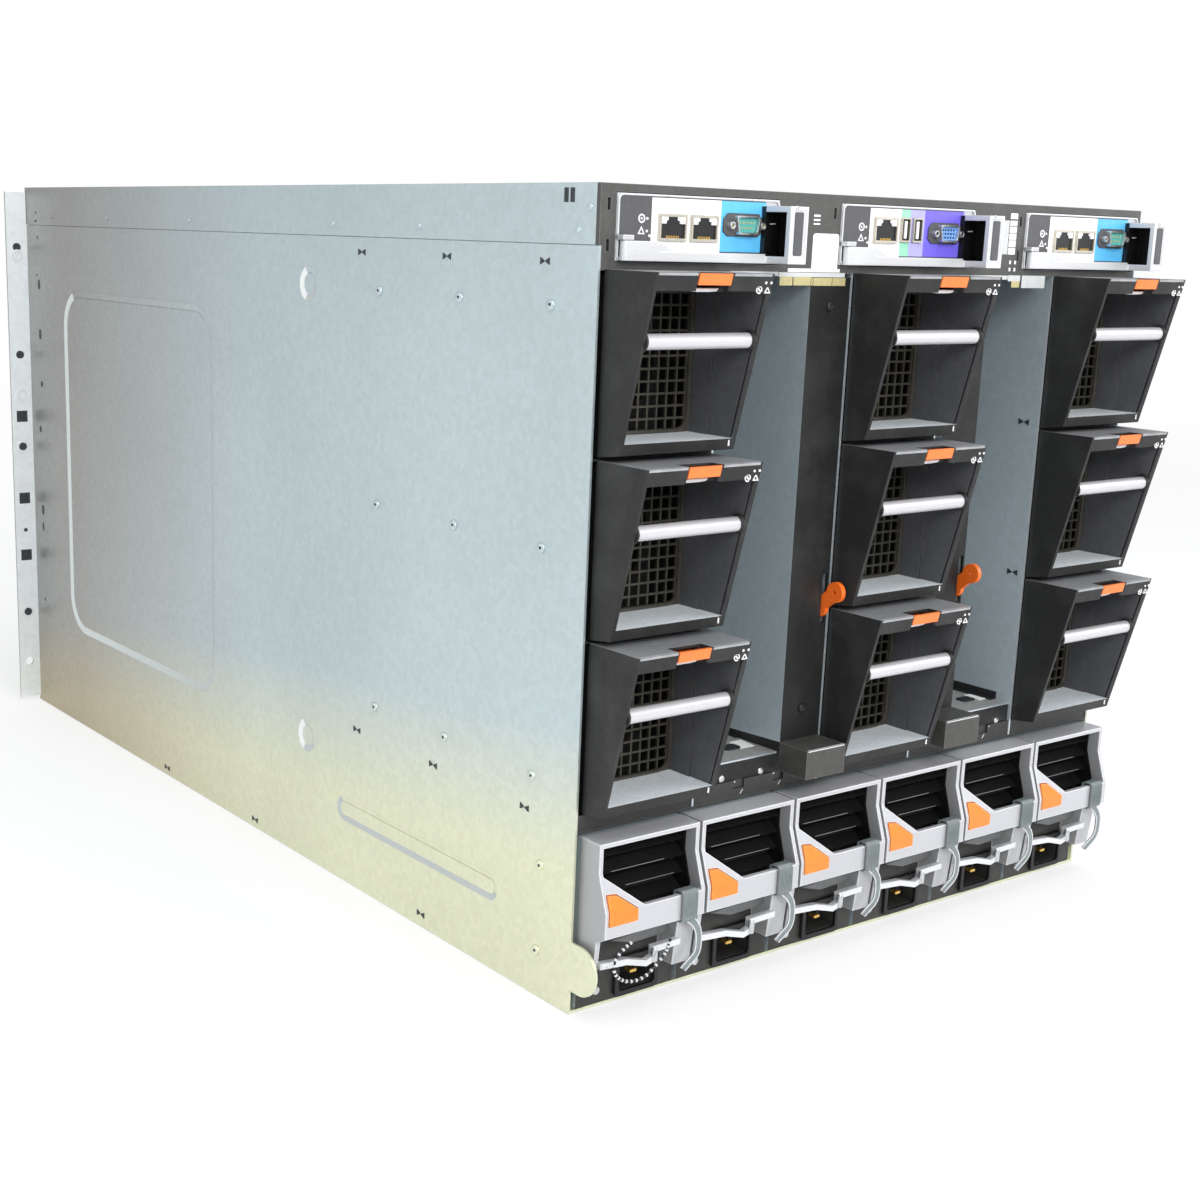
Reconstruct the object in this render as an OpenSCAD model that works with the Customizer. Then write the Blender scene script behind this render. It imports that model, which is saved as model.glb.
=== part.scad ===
// Blade server chassis, ten rack units high, seen from its service side at +Y.
// Origin: centre of the base's underside. +X is the side that is on the right when
// the blade bays at -Y are faced, +Z is up.

/* [Sheet metal] */
// Thickness of the base, side and cover sheets
sheet_t = 1.5; // [1.2:0.1:2]
// Thickness of the inner walls and shelves
wall_t = 1.2; // [1:0.1:1.5]
// Thickness of the rack flanges
flange_t = 2; // [1.5:0.1:3]
// Height of the cover's lip that hangs over the side panels
cover_lip_h = 30; // [20:1:36]
// Depth of the pressed recesses in the side panels
recess_d = 0.7; // [0.4:0.1:0.9]

/* [Rack flanges] */
// Distance from the case's side to the rack holes' centres
rack_hole_out = 9.05; // [8:0.05:12]
// Distance from a rack hole's centre to the flange's edge
rack_hole_edge = 8.75; // [6:0.05:10]
// Diameter of a rack hole
rack_hole_d = 7; // [6:0.1:7.5]
// One rack unit
rack_unit = 44.45; // [44.4:0.01:44.5]
// Height of the lowest rack hole
rack_hole_z = 35.85; // [34:0.05:38]

/* [Power supplies] */
// Number of power supplies
psu_count = 6; // [6:1:6]
// Width of a power supply
psu_w = 71.2; // [70:0.1:72]
// Gap between two power supplies
psu_gap = 2.2; // [1.6:0.1:3]
// Height of a power supply
psu_h = 99.6; // [96:0.1:104]
// Depth of a power supply's case
psu_len = 236; // [200:1:240]
// Wall of a power supply's case
psu_wall = 1; // [0.8:0.1:1.5]
// How far the handle's top stands out
handle_out = 16; // [14:0.5:20]
// How far the handle's lower bar stands out
handle_flare = 23; // [21:0.5:28]
// Wall of the handle
handle_wall = 2.5; // [2:0.1:3]
// Height of the handle's lower bar
handle_bar_h = 14.5; // [12:0.5:16]
// Height of the space below the handle's bar
handle_foot_h = 48.2; // [47:0.1:50]
// Clearance round a latch
latch_gap = 0.4; // [0.3:0.1:0.5]

/* [Fans] */
// Width of a fan unit
fan_w = 79; // [77:0.5:80]
// Height of a fan unit's hood above its shelf
hood_h = 94.6; // [93:0.1:95]
// Gap from a hood's top to the next fan's shelf level
hood_gap = 0.7; // [0.6:0.1:3]
// Depth of a fan unit inside the case
fan_len = 150; // [120:1:200]
// Wall of a fan unit's duct
duct_wall = 1.6; // [1.2:0.1:2]
// How far the hood's top edge stands out
hood_out = 39.5; // [36:0.5:42]
// How far the hood's bottom edge stands out
hood_out_low = 17; // [15:0.5:20]
// Thickness of the hood's side walls
hood_wall = 2.2; // [2:0.1:2.6]
// Height of the band over the hood's opening
hood_band_h = 9; // [8:0.5:10]
// Height of the lip under the hood's opening
hood_lip_h = 6; // [5:0.5:8]
// Diameter of the grip bar
grip_d = 8; // [7:0.5:9]
// Depth of the grip bar below the hood's top
grip_drop = 34; // [30:0.5:38]
// Pitch of the square mesh guard
mesh_pitch = 6.6; // [6.4:0.1:6.8]
// Width of a bar of the mesh
mesh_bar = 1.2; // [1:0.1:1.6]
// Diameter of the impeller
impeller_d = 66; // [62:0.5:67]
// Diameter of the impeller's hub
hub_d = 30; // [26:1:34]
// Number of impeller blades
blade_count = 7; // [7:1:7]
// Diameter of the impeller's shaft
shaft_d = 4; // [3:0.5:5]
// Gap between the impeller and the ring round it
impeller_gap = 1.2; // [1:0.1:1.6]
// Width of a fan unit's latch
fan_latch_w = 22; // [20:0.5:26]
// Height of a fan unit's latch
fan_latch_h = 5.8; // [5:0.1:6.5]

/* [Controllers] */
// Width of a controller module
ctl_w = 112; // [108:0.5:114]
// Height of a controller module
ctl_h = 33; // [31:0.5:34]
// Depth of a controller module
ctl_len = 200; // [160:1:230]
// Distance from one controller to the next
ctl_pitch = 160.5; // [158:0.5:161]
// Height of the controller row
ctl_row_h = 41; // [40.5:0.5:44]
// Height of the rails under a controller
ctl_rail_h = 3.2; // [2.5:0.1:4]
// Thickness of the lever's bar
lever_bar_t = 5.2; // [4.6:0.1:6]
// How far the lever's loop stands out
lever_out = 22; // [20:0.5:24]
// Width of the lever's loop
lever_loop_w = 13; // [12:0.5:15]

/* [Module bays] */
// Height of the power supply bay
psu_bay_h = 103; // [102.8:0.1:106]
// Height of the lowest fan shelf above the deck
fan_step = 8.9; // [6:0.1:12]
// Height of the module shelf above the deck
io_step = 21.3; // [18:0.1:24]
// How far the module shelf is set back
io_setback = 2; // [2:0.5:8]
// Width of a filler
blank_w = 31.4; // [30:0.1:32]
// Depth of a filler
blank_len = 140; // [100:1:200]
// Height of a filler's foot
blank_foot_h = 17; // [16:0.5:20]
// How far a filler's foot stands out
blank_foot_out = 22; // [18:0.5:24]
// Distance of the second filler from its wall
blank_offset = 6; // [0.6:0.1:8]

/* [Blade bays] */
// Depth of a blade server
blade_len = 486; // [480:1:500]
// Height of the air inlet strip under the blades
inlet_h = 44; // [40:1:46]
// Height of the guide ribs between two blades
guide_h = 5; // [4:0.5:6]
// Number of blades side by side
blade_cols = 8; // [8:2:8]
// Width of an inlet slot
inlet_slot_w = 6; // [5:0.5:8]

/* [Hidden] */
$fn = 48;
seat = 0.3;                     // clearance of a piece that slides or rests in its bay
slide_gap = 0.5;                // clearance beside a sliding unit
side_gap = 1.8;                 // space between the outer power supplies and the side panels
fan_side_gap = 2.5;             // space between the outer fans and the side panels
mid_t = 4;                      // midplane board
conn_gap = 6;                   // room for the connectors behind the power supplies
blade_gap = 20;                 // room for the connectors behind the blades

psu_pitch = psu_w + psu_gap;
case_w = psu_count * psu_pitch + 2 * (sheet_t + side_gap);
rack_hole_x = case_w / 2 + rack_hole_out;
inner_x = case_w / 2 - sheet_t;
case_d = flange_t + blade_len + blade_gap + mid_t + conn_gap + psu_len;
rear_y = case_d / 2;
front_y = -case_d / 2;
mid_y = front_y + flange_t + blade_len + blade_gap;
mid_back_y = mid_y + mid_t;

deck_top = psu_bay_h + wall_t;
fan_floor = deck_top + fan_step;
fan_pitch = hood_h + hood_gap;
io_floor = deck_top + io_step;
cage_floor = fan_floor + 3 * fan_pitch;
case_h = cage_floor + ctl_row_h;
cover_z = case_h - sheet_t;
lip_z = case_h - cover_lip_h;

psu_z = sheet_t + seat;
psu_top = psu_z + psu_h;

fan_x = inner_x - fan_side_gap - fan_w / 2;
inner_wall_x = fan_w / 2 + slide_gap;                 // walls beside the centre fans
outer_wall_x = fan_x - fan_w / 2 - slide_gap;         // walls beside the outer fans
io_in_x = inner_wall_x + wall_t;
io_out_x = outer_wall_x - wall_t;

joggle_t = sheet_t;                                   // inner step that carries the cover
joggle_drop = 10;
base_flange_h = 10.5;

// ---- shared shapes -------------------------------------------------------

// A block between two limits on each axis.
module block(x0, x1, y0, y1, z0, z1) {
    translate([x0, y0, z0]) cube([x1 - x0, y1 - y0, z1 - z0]);
}

// A (y, z) outline run from x0 to x1.
module side_profile(x0, x1, points) {
    translate([x0, 0, 0]) rotate([90, 0, 90]) linear_extrude(x1 - x0) polygon(points);
}

// An (x, z) outline run from y0 to y1.
module front_profile(y0, y1, points) {
    translate([0, y1, 0]) rotate([90, 0, 0]) linear_extrude(y1 - y0) polygon(points);
}

// A straight round bar along X, or along Y.
module bar_x(x0, x1, y, z, d) {
    translate([x0, y, z]) rotate([0, 90, 0]) cylinder(d = d, h = x1 - x0);
}
module bar_y(x, y0, y1, z, d) {
    translate([x, y0, z]) rotate([-90, 0, 0]) cylinder(d = d, h = y1 - y0);
}

// A flat rounded rectangle centred on the origin.
module rounded_rect(w, h, r) {
    square([w - 2 * r, h], center = true);
    square([w, h - 2 * r], center = true);
    for (sx = [-1, 1], sy = [-1, 1])
        translate([sx * (w / 2 - r), sy * (h / 2 - r)]) circle(r);
}

// A pressed recess with rounded corners, cut into a side panel's outer face.
module pressed_recess(y, z, len_y, len_z, r) {
    translate([case_w / 2 - recess_d, y, z]) rotate([90, 0, 90]) linear_extrude(recess_d + 1) rounded_rect(len_y, len_z, r);
}

// ---- case ----------------------------------------------------------------

module base_pan() color("lightsteelblue") {
    block(-inner_x, inner_x, front_y, rear_y, 0, sheet_t);
    for (s = [-1, 1])
        translate([s * (inner_x - sheet_t / 2), 0, 0])
            block(-sheet_t / 2, sheet_t / 2, front_y + flange_t, rear_y - 2, sheet_t, base_flange_h);
}

flange_end_gap = 4;
square_hole = 9.5;
rack_rows = [0, 1, 4.25, 6, 8];        // round holes, in rack units above the lowest
square_rows = [130.7, 180.3, 250.6];   // heights of the square holes
joggle_back = 12;
big_len = 264;                         // large recess beside the blade bays
big_high = 280;
big_in = 208;                           // its centre behind the blade end
big_y = front_y + big_in;
slim_len = 176;                        // slim recess beside the power supplies
slim_high = 16;
slim_in = 156;                          // its centre before the service end
slim_y = rear_y - slim_in;
slim_z = 49;
dimple_d = 22;
dimple_in = 284;
dimple_y = rear_y - dimple_in;
dimple_rows = [86, 380];

// One side, drawn for +X, with its pressed recesses.
module side_sheet() {
    difference() {
        block(inner_x, case_w / 2, front_y, rear_y, 0, lip_z - seat);
        pressed_recess(big_y, case_h / 2, big_len, big_high, 30);
        pressed_recess(slim_y, slim_z, slim_len, slim_high, slim_high / 2 - 0.5);
        for (z = dimple_rows) bar_x(case_w / 2 - recess_d, case_w / 2 + 1, dimple_y, z, dimple_d);
    }
    block(inner_x - joggle_t, inner_x, front_y + flange_t, rear_y - joggle_back, lip_z - joggle_drop, cover_z);
    difference() {
        block(inner_x, rack_hole_x + rack_hole_edge, front_y, front_y + flange_t, flange_end_gap, case_h - flange_end_gap);
        block(inner_x - 1, case_w / 2 + seat, front_y - 1, front_y + flange_t + 1, lip_z - seat, case_h);
        for (n = rack_rows) bar_y(rack_hole_x, front_y - 1, front_y + flange_t + 1, rack_hole_z + n * rack_unit, rack_hole_d);
        for (z = square_rows)
            translate([rack_hole_x, front_y, z]) cube([square_hole, 10, square_hole], center = true);
    }
}

tab_r = 14;
tab_z = 28;
tab_out = 8;                           // straight part of the rear tab
module side_panel_right() color("lightsteelblue") {
    side_sheet();
    block(inner_x, case_w / 2, rear_y, rear_y + tab_out, tab_z - tab_r, tab_z + tab_r);
    bar_x(inner_x, case_w / 2, rear_y + tab_out, tab_z, 2 * tab_r);
}

module side_panel_left() color("lightsteelblue") mirror([1, 0, 0]) side_sheet();

cage_plate_t = 3;
cover_rear_y = rear_y - cage_plate_t;
module top_cover() color("lightsteelblue") {
    block(-case_w / 2, case_w / 2, front_y, cover_rear_y, cover_z, case_h);
    for (s = [-1, 1])
        translate([s * (case_w / 2 - sheet_t / 2), 0, 0])
            block(-sheet_t / 2, sheet_t / 2, front_y, cover_rear_y, lip_z, cover_z);
}

// Left edge, seen from the rear, of controller i (0 to 2), at +X.
function ctl_edge(i) = (ctl_pitch + ctl_w / 2) - i * ctl_pitch - ctl_side_shift;
ctl_side_shift = 3.5;
ctl_z = cage_floor + ctl_rail_h + seat;
cage_back = ctl_len + 10;

module controller_cage() color("dimgray") {
    difference() {
        union() {
            block(-inner_x, inner_x, cover_rear_y, rear_y, cage_floor - wall_t, lip_z);
            block(-case_w / 2, case_w / 2, cover_rear_y, rear_y, lip_z, case_h);
        }
        for (i = [0:2])
            block(ctl_edge(i) - ctl_w - slide_gap, ctl_edge(i) + slide_gap, cover_rear_y - 1, rear_y + 1,
                  ctl_z - slide_gap, ctl_z + ctl_h + slide_gap);
        for (x = [inner_x - 4, inner_x - 4 - ctl_pitch, inner_x - 4 - 2 * ctl_pitch], z = [8, 28])
            block(x - 1, x + 1, cover_rear_y - 1, rear_y + 1, cage_floor + z, cage_floor + z + 6);
    }
    block(-inner_x, inner_x, rear_y - cage_back, cover_rear_y, cage_floor - wall_t, cage_floor);
    for (i = [0:2], u = [6, ctl_w - 10])
        block(ctl_edge(i) - u - 4, ctl_edge(i) - u, rear_y - ctl_len, cover_rear_y, cage_floor, cage_floor + ctl_rail_h);
}

// Walls between the fan columns and the module bays.
module bay_walls() color("slategray")
    for (s = [-1, 1], x = [inner_wall_x, io_out_x])
        translate([s * (x + wall_t / 2), 0, 0])
            block(-wall_t / 2, wall_t / 2, mid_back_y, rear_y, deck_top, cage_floor - wall_t);

fascia_t = 1.2;
notch_w = 9;                           // notches of the plate below a module bay
notch_d = 5;
notches = [[26.5, 58], [21, 53]];      // from the bay's -X wall
plate_h = 9.3;
shelf_back = fan_len + 10;
module bay_shelves() color("dimgray") {
    block(-inner_x, inner_x, mid_back_y, rear_y - seat, psu_bay_h, deck_top);
    for (k = [0:2], c = [-1, 0, 1]) {
        half = c == 0 ? inner_wall_x : (inner_x - outer_wall_x) / 2;
        centre = c * (inner_x + outer_wall_x) / 2;
        z = fan_floor + k * fan_pitch;
        block(centre - half, centre + half, rear_y - shelf_back, rear_y - seat, z - wall_t, z);
        if (k == 0)
            block(centre - half, centre + half, rear_y - 2, rear_y - 2 + fascia_t, deck_top, z - wall_t);
    }
    for (s = [-1, 1]) {
        x0 = s > 0 ? io_in_x : -io_out_x;
        x1 = s > 0 ? io_out_x : -io_in_x;
        block(x0, x1, mid_back_y, rear_y - io_setback, io_floor - wall_t, io_floor);
        block(x0, x1, rear_y - io_setback - fascia_t, rear_y - io_setback, deck_top, io_floor - wall_t);
        difference() {
            block(x0, x1, rear_y - 2, rear_y - 2 + fascia_t, deck_top, deck_top + plate_h);
            for (u = notches[s > 0 ? 0 : 1])
                block(x0 + u, x0 + u + notch_w, rear_y - 2, rear_y, deck_top + plate_h - notch_d, deck_top + plate_h + 1);
        }
    }
}

// ---- midplane and blade bays ----------------------------------------------

blade_pitch = 2 * inner_x / blade_cols;
blade_floor = inlet_h + wall_t;
blade_row_h = (cover_z - blade_floor) / 2;
mid_shelf_z = blade_floor + blade_row_h;
function blade_x(c) = -inner_x + (c + 0.5) * blade_pitch;
conn_d = 10;
conn_w = 10;
air_hole_w = 32;                       // air openings of the midplane, one behind each blade
air_hole_h = 48;
module midplane() color("darkgreen") {
    difference() {
        block(-inner_x + 2, inner_x - 2, mid_y, mid_back_y, base_flange_h + 3, cover_z);
        for (c = [0:blade_cols - 1], z = [blade_floor, mid_shelf_z])
            block(blade_x(c) - air_hole_w / 2, blade_x(c) + air_hole_w / 2, mid_y - 1, mid_back_y + 1, z + 100, z + 100 + air_hole_h);
    }
    for (c = [0:blade_cols - 1], z = [blade_floor, mid_shelf_z])
        block(blade_x(c) - conn_w / 2, blade_x(c) + conn_w / 2, mid_y - conn_d, mid_y, z + 16, z + 92);
    for (s = [-1, 1], k = [0:2])
        translate([s * (io_in_x + (k + 0.5) * (io_out_x - io_in_x) / 3), 0, 0])
            block(-conn_w / 2, conn_w / 2, mid_back_y, mid_back_y + conn_d, io_floor + 50, io_floor + 130);
    for (i = [0:psu_count - 1])
        block(psu_edge(i) - psu_w / 2 - 20, psu_edge(i) - psu_w / 2 + 20, mid_back_y, mid_back_y + conn_gap - 1, 30, 60);
}

module blade_cage() color("lightslategray") {
    block(-inner_x, inner_x, front_y + flange_t, mid_y, inlet_h, blade_floor);
    block(-wall_t / 2, wall_t / 2, front_y + flange_t, mid_y - conn_d, blade_floor, cover_z);
    for (c = [1:blade_cols - 1])
        if (c != blade_cols / 2)
            translate([-inner_x + c * blade_pitch, 0, 0])
                block(-wall_t / 2, wall_t / 2, front_y + 12, mid_y - conn_d, blade_floor, blade_floor + guide_h);
}

module blade_mid_shelf() color("lightslategray")
    for (s = [0, 1]) {
        x0 = s == 0 ? wall_t / 2 : -inner_x;
        x1 = s == 0 ? inner_x : -wall_t / 2;
        block(x0, x1, front_y + flange_t + 1, mid_y - conn_d - 6, mid_shelf_z - wall_t / 2, mid_shelf_z + wall_t / 2);
        for (c = [1:blade_cols / 2 - 1])
            translate([(s == 0 ? 0 : -inner_x) + c * blade_pitch, 0, 0])
                block(-wall_t / 2, wall_t / 2, front_y + 12, mid_y - conn_d - 6, mid_shelf_z + wall_t / 2, mid_shelf_z + guide_h);
    }

grille_t = 1.5;
slot_margin = 12;
slot_rib = 5;
module front_grille() color("dimgray") {
    half = inner_x - sheet_t - seat;
    row_h = (inlet_h - sheet_t - 3 * slot_rib) / 2;
    count = floor((half - slot_margin) / inlet_slot_w);
    difference() {
        block(-half, half, front_y + flange_t, front_y + flange_t + grille_t, sheet_t, inlet_h);
        for (i = [0:count - 1], z = [sheet_t + slot_rib, sheet_t + 2 * slot_rib + row_h])
            block(-half + slot_margin + i * 2 * inlet_slot_w, -half + slot_margin + (2 * i + 1) * inlet_slot_w,
                  front_y, front_y + 10, z, z + row_h);
    }
}

// ---- fillers in the module bays --------------------------------------------

blank_wall = 1;
blank_z = io_floor + seat;
blank_top = cage_floor - wall_t - 2;
latch_lobe = 6;
latch_t = 3;
latch_y = -3;                    // pivot, from the rear plane
latch_z = deck_top + 104.4;
foot_z = deck_top + 10.4;
latch_tip_y = 12;                // outer lobe, from the pivot
latch_tip_z = 10.4;
latch_pin_d = 2.6;

// -X edge of filler i (0 or 1).
function blank_edge(i) = i == 0 ? io_in_x + 0.6 : -io_in_x - blank_offset - blank_w;

module io_blank(i) color("dimgray") translate([blank_edge(i), rear_y, 0]) {
    // U-shaped sheet with its rear face
    difference() {
        union() {
            block(0, blank_w, -1.5, 0, blank_z, blank_top);
            for (x = [0, blank_w - blank_wall]) block(x, x + blank_wall, -blank_len, -1.5, blank_z, blank_top);
            block(blank_wall, blank_w - blank_wall, -blank_len, -1.5, blank_top - blank_wall, blank_top);
            block(blank_wall, blank_w - blank_wall, -blank_len, -io_setback, blank_z, blank_z + blank_wall);
        }
        block(blank_wall + seat, blank_wall + 2 * seat + latch_t + 0.6, -2, 1, latch_z - 9, latch_z + 20);
    }
    // hollow foot in front of the deck
    difference() {
        block(0, blank_w, 0, blank_foot_out, foot_z, foot_z + blank_foot_h);
        block(blank_wall, blank_w - blank_wall, -1, blank_foot_out - blank_wall, foot_z - 1, foot_z + blank_foot_h - blank_wall);
    }
    // pivot of the latch
    bar_x(blank_wall, blank_wall + seat + latch_t + 1.5, latch_y, latch_z, latch_pin_d);
}

// Two-lobed lever beside the filler's edge.
module blank_latch(i) color("orangered")
    translate([blank_edge(i) + blank_wall + seat + 0.3, rear_y + latch_y, latch_z]) {
        difference() {
            rotate([90, 0, 90]) linear_extrude(latch_t) {
                circle(latch_lobe);
                translate([latch_tip_y, latch_tip_z]) circle(latch_lobe);
                rotate(atan2(latch_tip_z, latch_tip_y)) translate([0, -4]) square([norm([latch_tip_y, latch_tip_z]), 8]);
            }
            bar_x(-1, latch_t + 1, 0, 0, latch_pin_d + 2 * seat);
            bar_x(-1, latch_t + 1, latch_tip_y, latch_tip_z, 2);
        }
    }

// ---- controllers -----------------------------------------------------------

ctl_wall = 1;
ctl_face_t = 2;
lever_knuckle_r = lever_bar_t / 2;
lever_back = 0.8;                       // space between the faceplate and the lever
lever_axis_y = lever_back + lever_knuckle_r;
lever_axis_u = lever_knuckle_r + 0.8;
lever_h = 10;                            // height of the lever at its pivot
lever_rise_u = 24;                       // end of the high part
cup_wall = 1.5;
lever_pin_d = 2.4;

// Drawn from its +X edge towards -X, in front of the rear plane at y = 0.
module at_ctl(i) translate([ctl_edge(i), rear_y, ctl_z]) children();

module controller_module(i) color("darkgray") at_ctl(i) {
    difference() {
        union() {
            block(1 - ctl_w, -1, -ctl_len, 0, 0, ctl_h);
            block(-ctl_w, 0, -ctl_face_t, 0.3, 0, ctl_h);
        }
        block(1 + ctl_wall - ctl_w, -1 - ctl_wall, ctl_wall - ctl_len, -ctl_face_t, ctl_wall, ctl_h - ctl_wall);
    }
    // lug and pin that carry the lever
    block(-2 * lever_axis_u, 0, 0, lever_axis_y + lever_knuckle_r, lever_h + seat, lever_h + seat + 2.5);
    translate([-lever_axis_u, lever_axis_y, 1]) cylinder(d = lever_pin_d, h = lever_h + seat);
}

module controller_lever(i) color("silver") at_ctl(i) {
    loop_x = -ctl_w + lever_loop_w;
    lever_top = ctl_h - 3.3;
    difference() {
        union() {
            translate([-lever_axis_u, lever_axis_y, seat]) cylinder(r = lever_knuckle_r, h = lever_h - seat);
            block(-lever_rise_u, -lever_axis_u, lever_back, lever_back + lever_bar_t, seat, lever_h);
            block(loop_x, -lever_rise_u, lever_back, lever_back + lever_bar_t, seat, lever_h / 2);
            block(-ctl_w, loop_x, lever_back, lever_out, seat, lever_top);
        }
        translate([-lever_axis_u, lever_axis_y, 0]) cylinder(d = lever_pin_d + 2 * seat, h = lever_h + 1);
        // finger cup, closed at its -X end
        block(-ctl_w + cup_wall, loop_x + 1, lever_back + 3, lever_out - 3, 4, lever_top - 3);
        block(-ctl_w + cup_wall, loop_x - cup_wall, lever_out - 0.6, lever_out + 1, 3, lever_top - 2);
    }
}

// ---- power supplies ----------------------------------------------------------

// Left edge, seen from the rear, of power supply i (0 to 5), at +X.
function psu_edge(i) = inner_x - side_gap - psu_gap / 2 - i * psu_pitch;
kink_drop = 16.2;                              // straight part of the handle's front edge
bar_z = handle_foot_h + 2;                     // underside of the lower bar
bar_top = bar_z + handle_bar_h;
diag_u = 27.5;                                 // where the slanted edge meets the bar
inlet_u = 42.5;                                // centre of the power inlet
inlet_z = 14.5;
inlet_w = 31;
inlet_hh = 22;

// The slanted front of the handle, as its distance out at a height z.
function front_out(z) = z >= psu_top - kink_drop ? handle_out
    : z <= bar_top ? handle_flare
    : handle_flare + (handle_out - handle_flare) * (z - bar_top) / (psu_top - kink_drop - bar_top);

module psu_side(inset) side_profile(-psu_w + inset, -inset, [
    [0, psu_top], [handle_out, psu_top], [handle_out, psu_top - kink_drop],
    [handle_flare, bar_top], [handle_flare, bar_z], [handle_out, bar_z - 4],
    [handle_out - 3, 19], [0, 19]]);

latch_bottom = bar_z + 7;
latch_top = bar_top + 9.2;
module latch_outline(grow)
    polygon([[-2.6 + grow, latch_bottom - grow], [-2.6 + grow, latch_top + grow],
             [-9 - grow / 2, latch_top - 0.8 + grow], [-22.2 - grow, bar_top - 1 + grow / 2],
             [-22.2 - grow, latch_bottom - grow]]);

module psu_case(i) color("silver") translate([psu_edge(i), rear_y, 0]) {
    // sheet case
    difference() {
        block(-psu_w + 0.4, -0.4, -psu_len, 0, psu_z, psu_top - 0.4);
        block(-psu_w + 0.4 + psu_wall, -0.4 - psu_wall, -psu_len + psu_wall, -18, psu_z + psu_wall, psu_top - 0.4 - psu_wall);
        block(-inlet_u - inlet_w / 2 + 2.5, -inlet_u + inlet_w / 2 - 2.5, -16, 1, inlet_z - inlet_hh / 2 + 2.5, inlet_z + inlet_hh / 2 - 2.5);
        for (k = [0:2]) block(-psu_w + 6, -6, -17, 1, 56 + 14 * k, 64 + 14 * k);
    }
    // blades of the inlet
    for (u = [-7, 0, 7]) block(-inlet_u + u - 1, -inlet_u + u + 1, -16, -7, inlet_z - 3 + (u == 0 ? 2 : 0), inlet_z + 3);
    // moulded handle
    difference() {
        psu_side(0);
        side_profile(-psu_w + handle_wall, -handle_wall, [
            [0, psu_top - handle_wall], [handle_out - 3, psu_top - handle_wall], [handle_out - 3, psu_top - kink_drop],
            [handle_flare - 3, bar_top], [handle_flare - 3, bar_z + 2], [0, bar_z + 2]]);
        front_profile(handle_out - 4, handle_flare + 2, [
            [-handle_wall, psu_top - handle_wall], [-psu_w + handle_wall, psu_top - handle_wall],
            [-psu_w + handle_wall, bar_top], [-diag_u, bar_top], [-handle_wall, psu_top - kink_drop - 2]]);
        translate([0, handle_flare + 2, 0]) rotate([90, 0, 0]) linear_extrude(12) latch_outline(latch_gap);
        // open foot between the two legs
        block(-psu_w + 13, -3, -1, handle_flare, 18, bar_z);
    }
    // cord clip across the foot
    front_profile(handle_out - 2, handle_out + 2, [
        [-2, 31], [-21, 29.5], [-35, 25.5], [-42.5, 27.5], [-42.5, 32.5], [-psu_w + 12, 33],
        [-psu_w + 12, 36.5], [-39.5, 36], [-39.5, 30.3], [-35, 29], [-21, 33], [-2, 34.5]]);
    side_profile(-psu_w + 16, -12, [[0, 46], [10, 49.5], [10, 50.5], [0, 47.5]]);
}

module psu_latch(i) color("orange") translate([psu_edge(i), rear_y, 0])
    intersection() {
        translate([0, handle_flare + 2, 0]) rotate([90, 0, 0]) linear_extrude(handle_flare) latch_outline(0);
        side_profile(-psu_w, 0, [
            [handle_flare - 8, bar_z], [handle_flare + 0.8, bar_z], [handle_flare + 0.8, bar_top],
            [front_out(latch_top) + 0.8, latch_top + 1], [handle_flare - 8, latch_top + 1]]);
    }

// ---- fans ----------------------------------------------------------------------

body_top = hood_h - 1.8;                  // top of the duct above its shelf
duct_x = fan_w / 2 - 1.5;
guard_y = -17;
guard_t = 1.5;
ring_y = -45;
strut_y = -62;
strut_t = 3;
hub_len = 18;
scoop_x = fan_latch_w / 2 + 0.8;          // pocket of the latch in the hood
scoop_wall = 2.2;
scoop_z = 7.6;
scoop_floor = 1.8;
scoop_skin = 1.5;
mouth_d = 9;                              // depth of its open mouth behind the hood's front
latch_axis_y = 7;
latch_axis_z = -5;                        // from the hood's top
latch_pin = 2.2;
latch_arm_t = 2;
hood_low = 3.3;                           // hood's lower front edge above its shelf
ledge_z = hood_low + hood_lip_h;          // floor in front of the guard
window_top = 8;
mesh_cols = 10;
mesh_rows = 11;
axis_z = body_top / 2 + seat;             // shaft above the shelf

// Fan n (1 to 9): columns from +X, rows from the top.
function column(n) = 1 - (n - 1) % 3;
function row(n) = 2 - floor((n - 1) / 3);
module at_fan(n) translate([column(n) * fan_x, rear_y, fan_floor + row(n) * fan_pitch]) children();

// How far the hood's front stands out at a height below its top.
function hood_front(drop) = hood_out - (hood_out - hood_out_low) * drop / (hood_h - hood_low);

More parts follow.
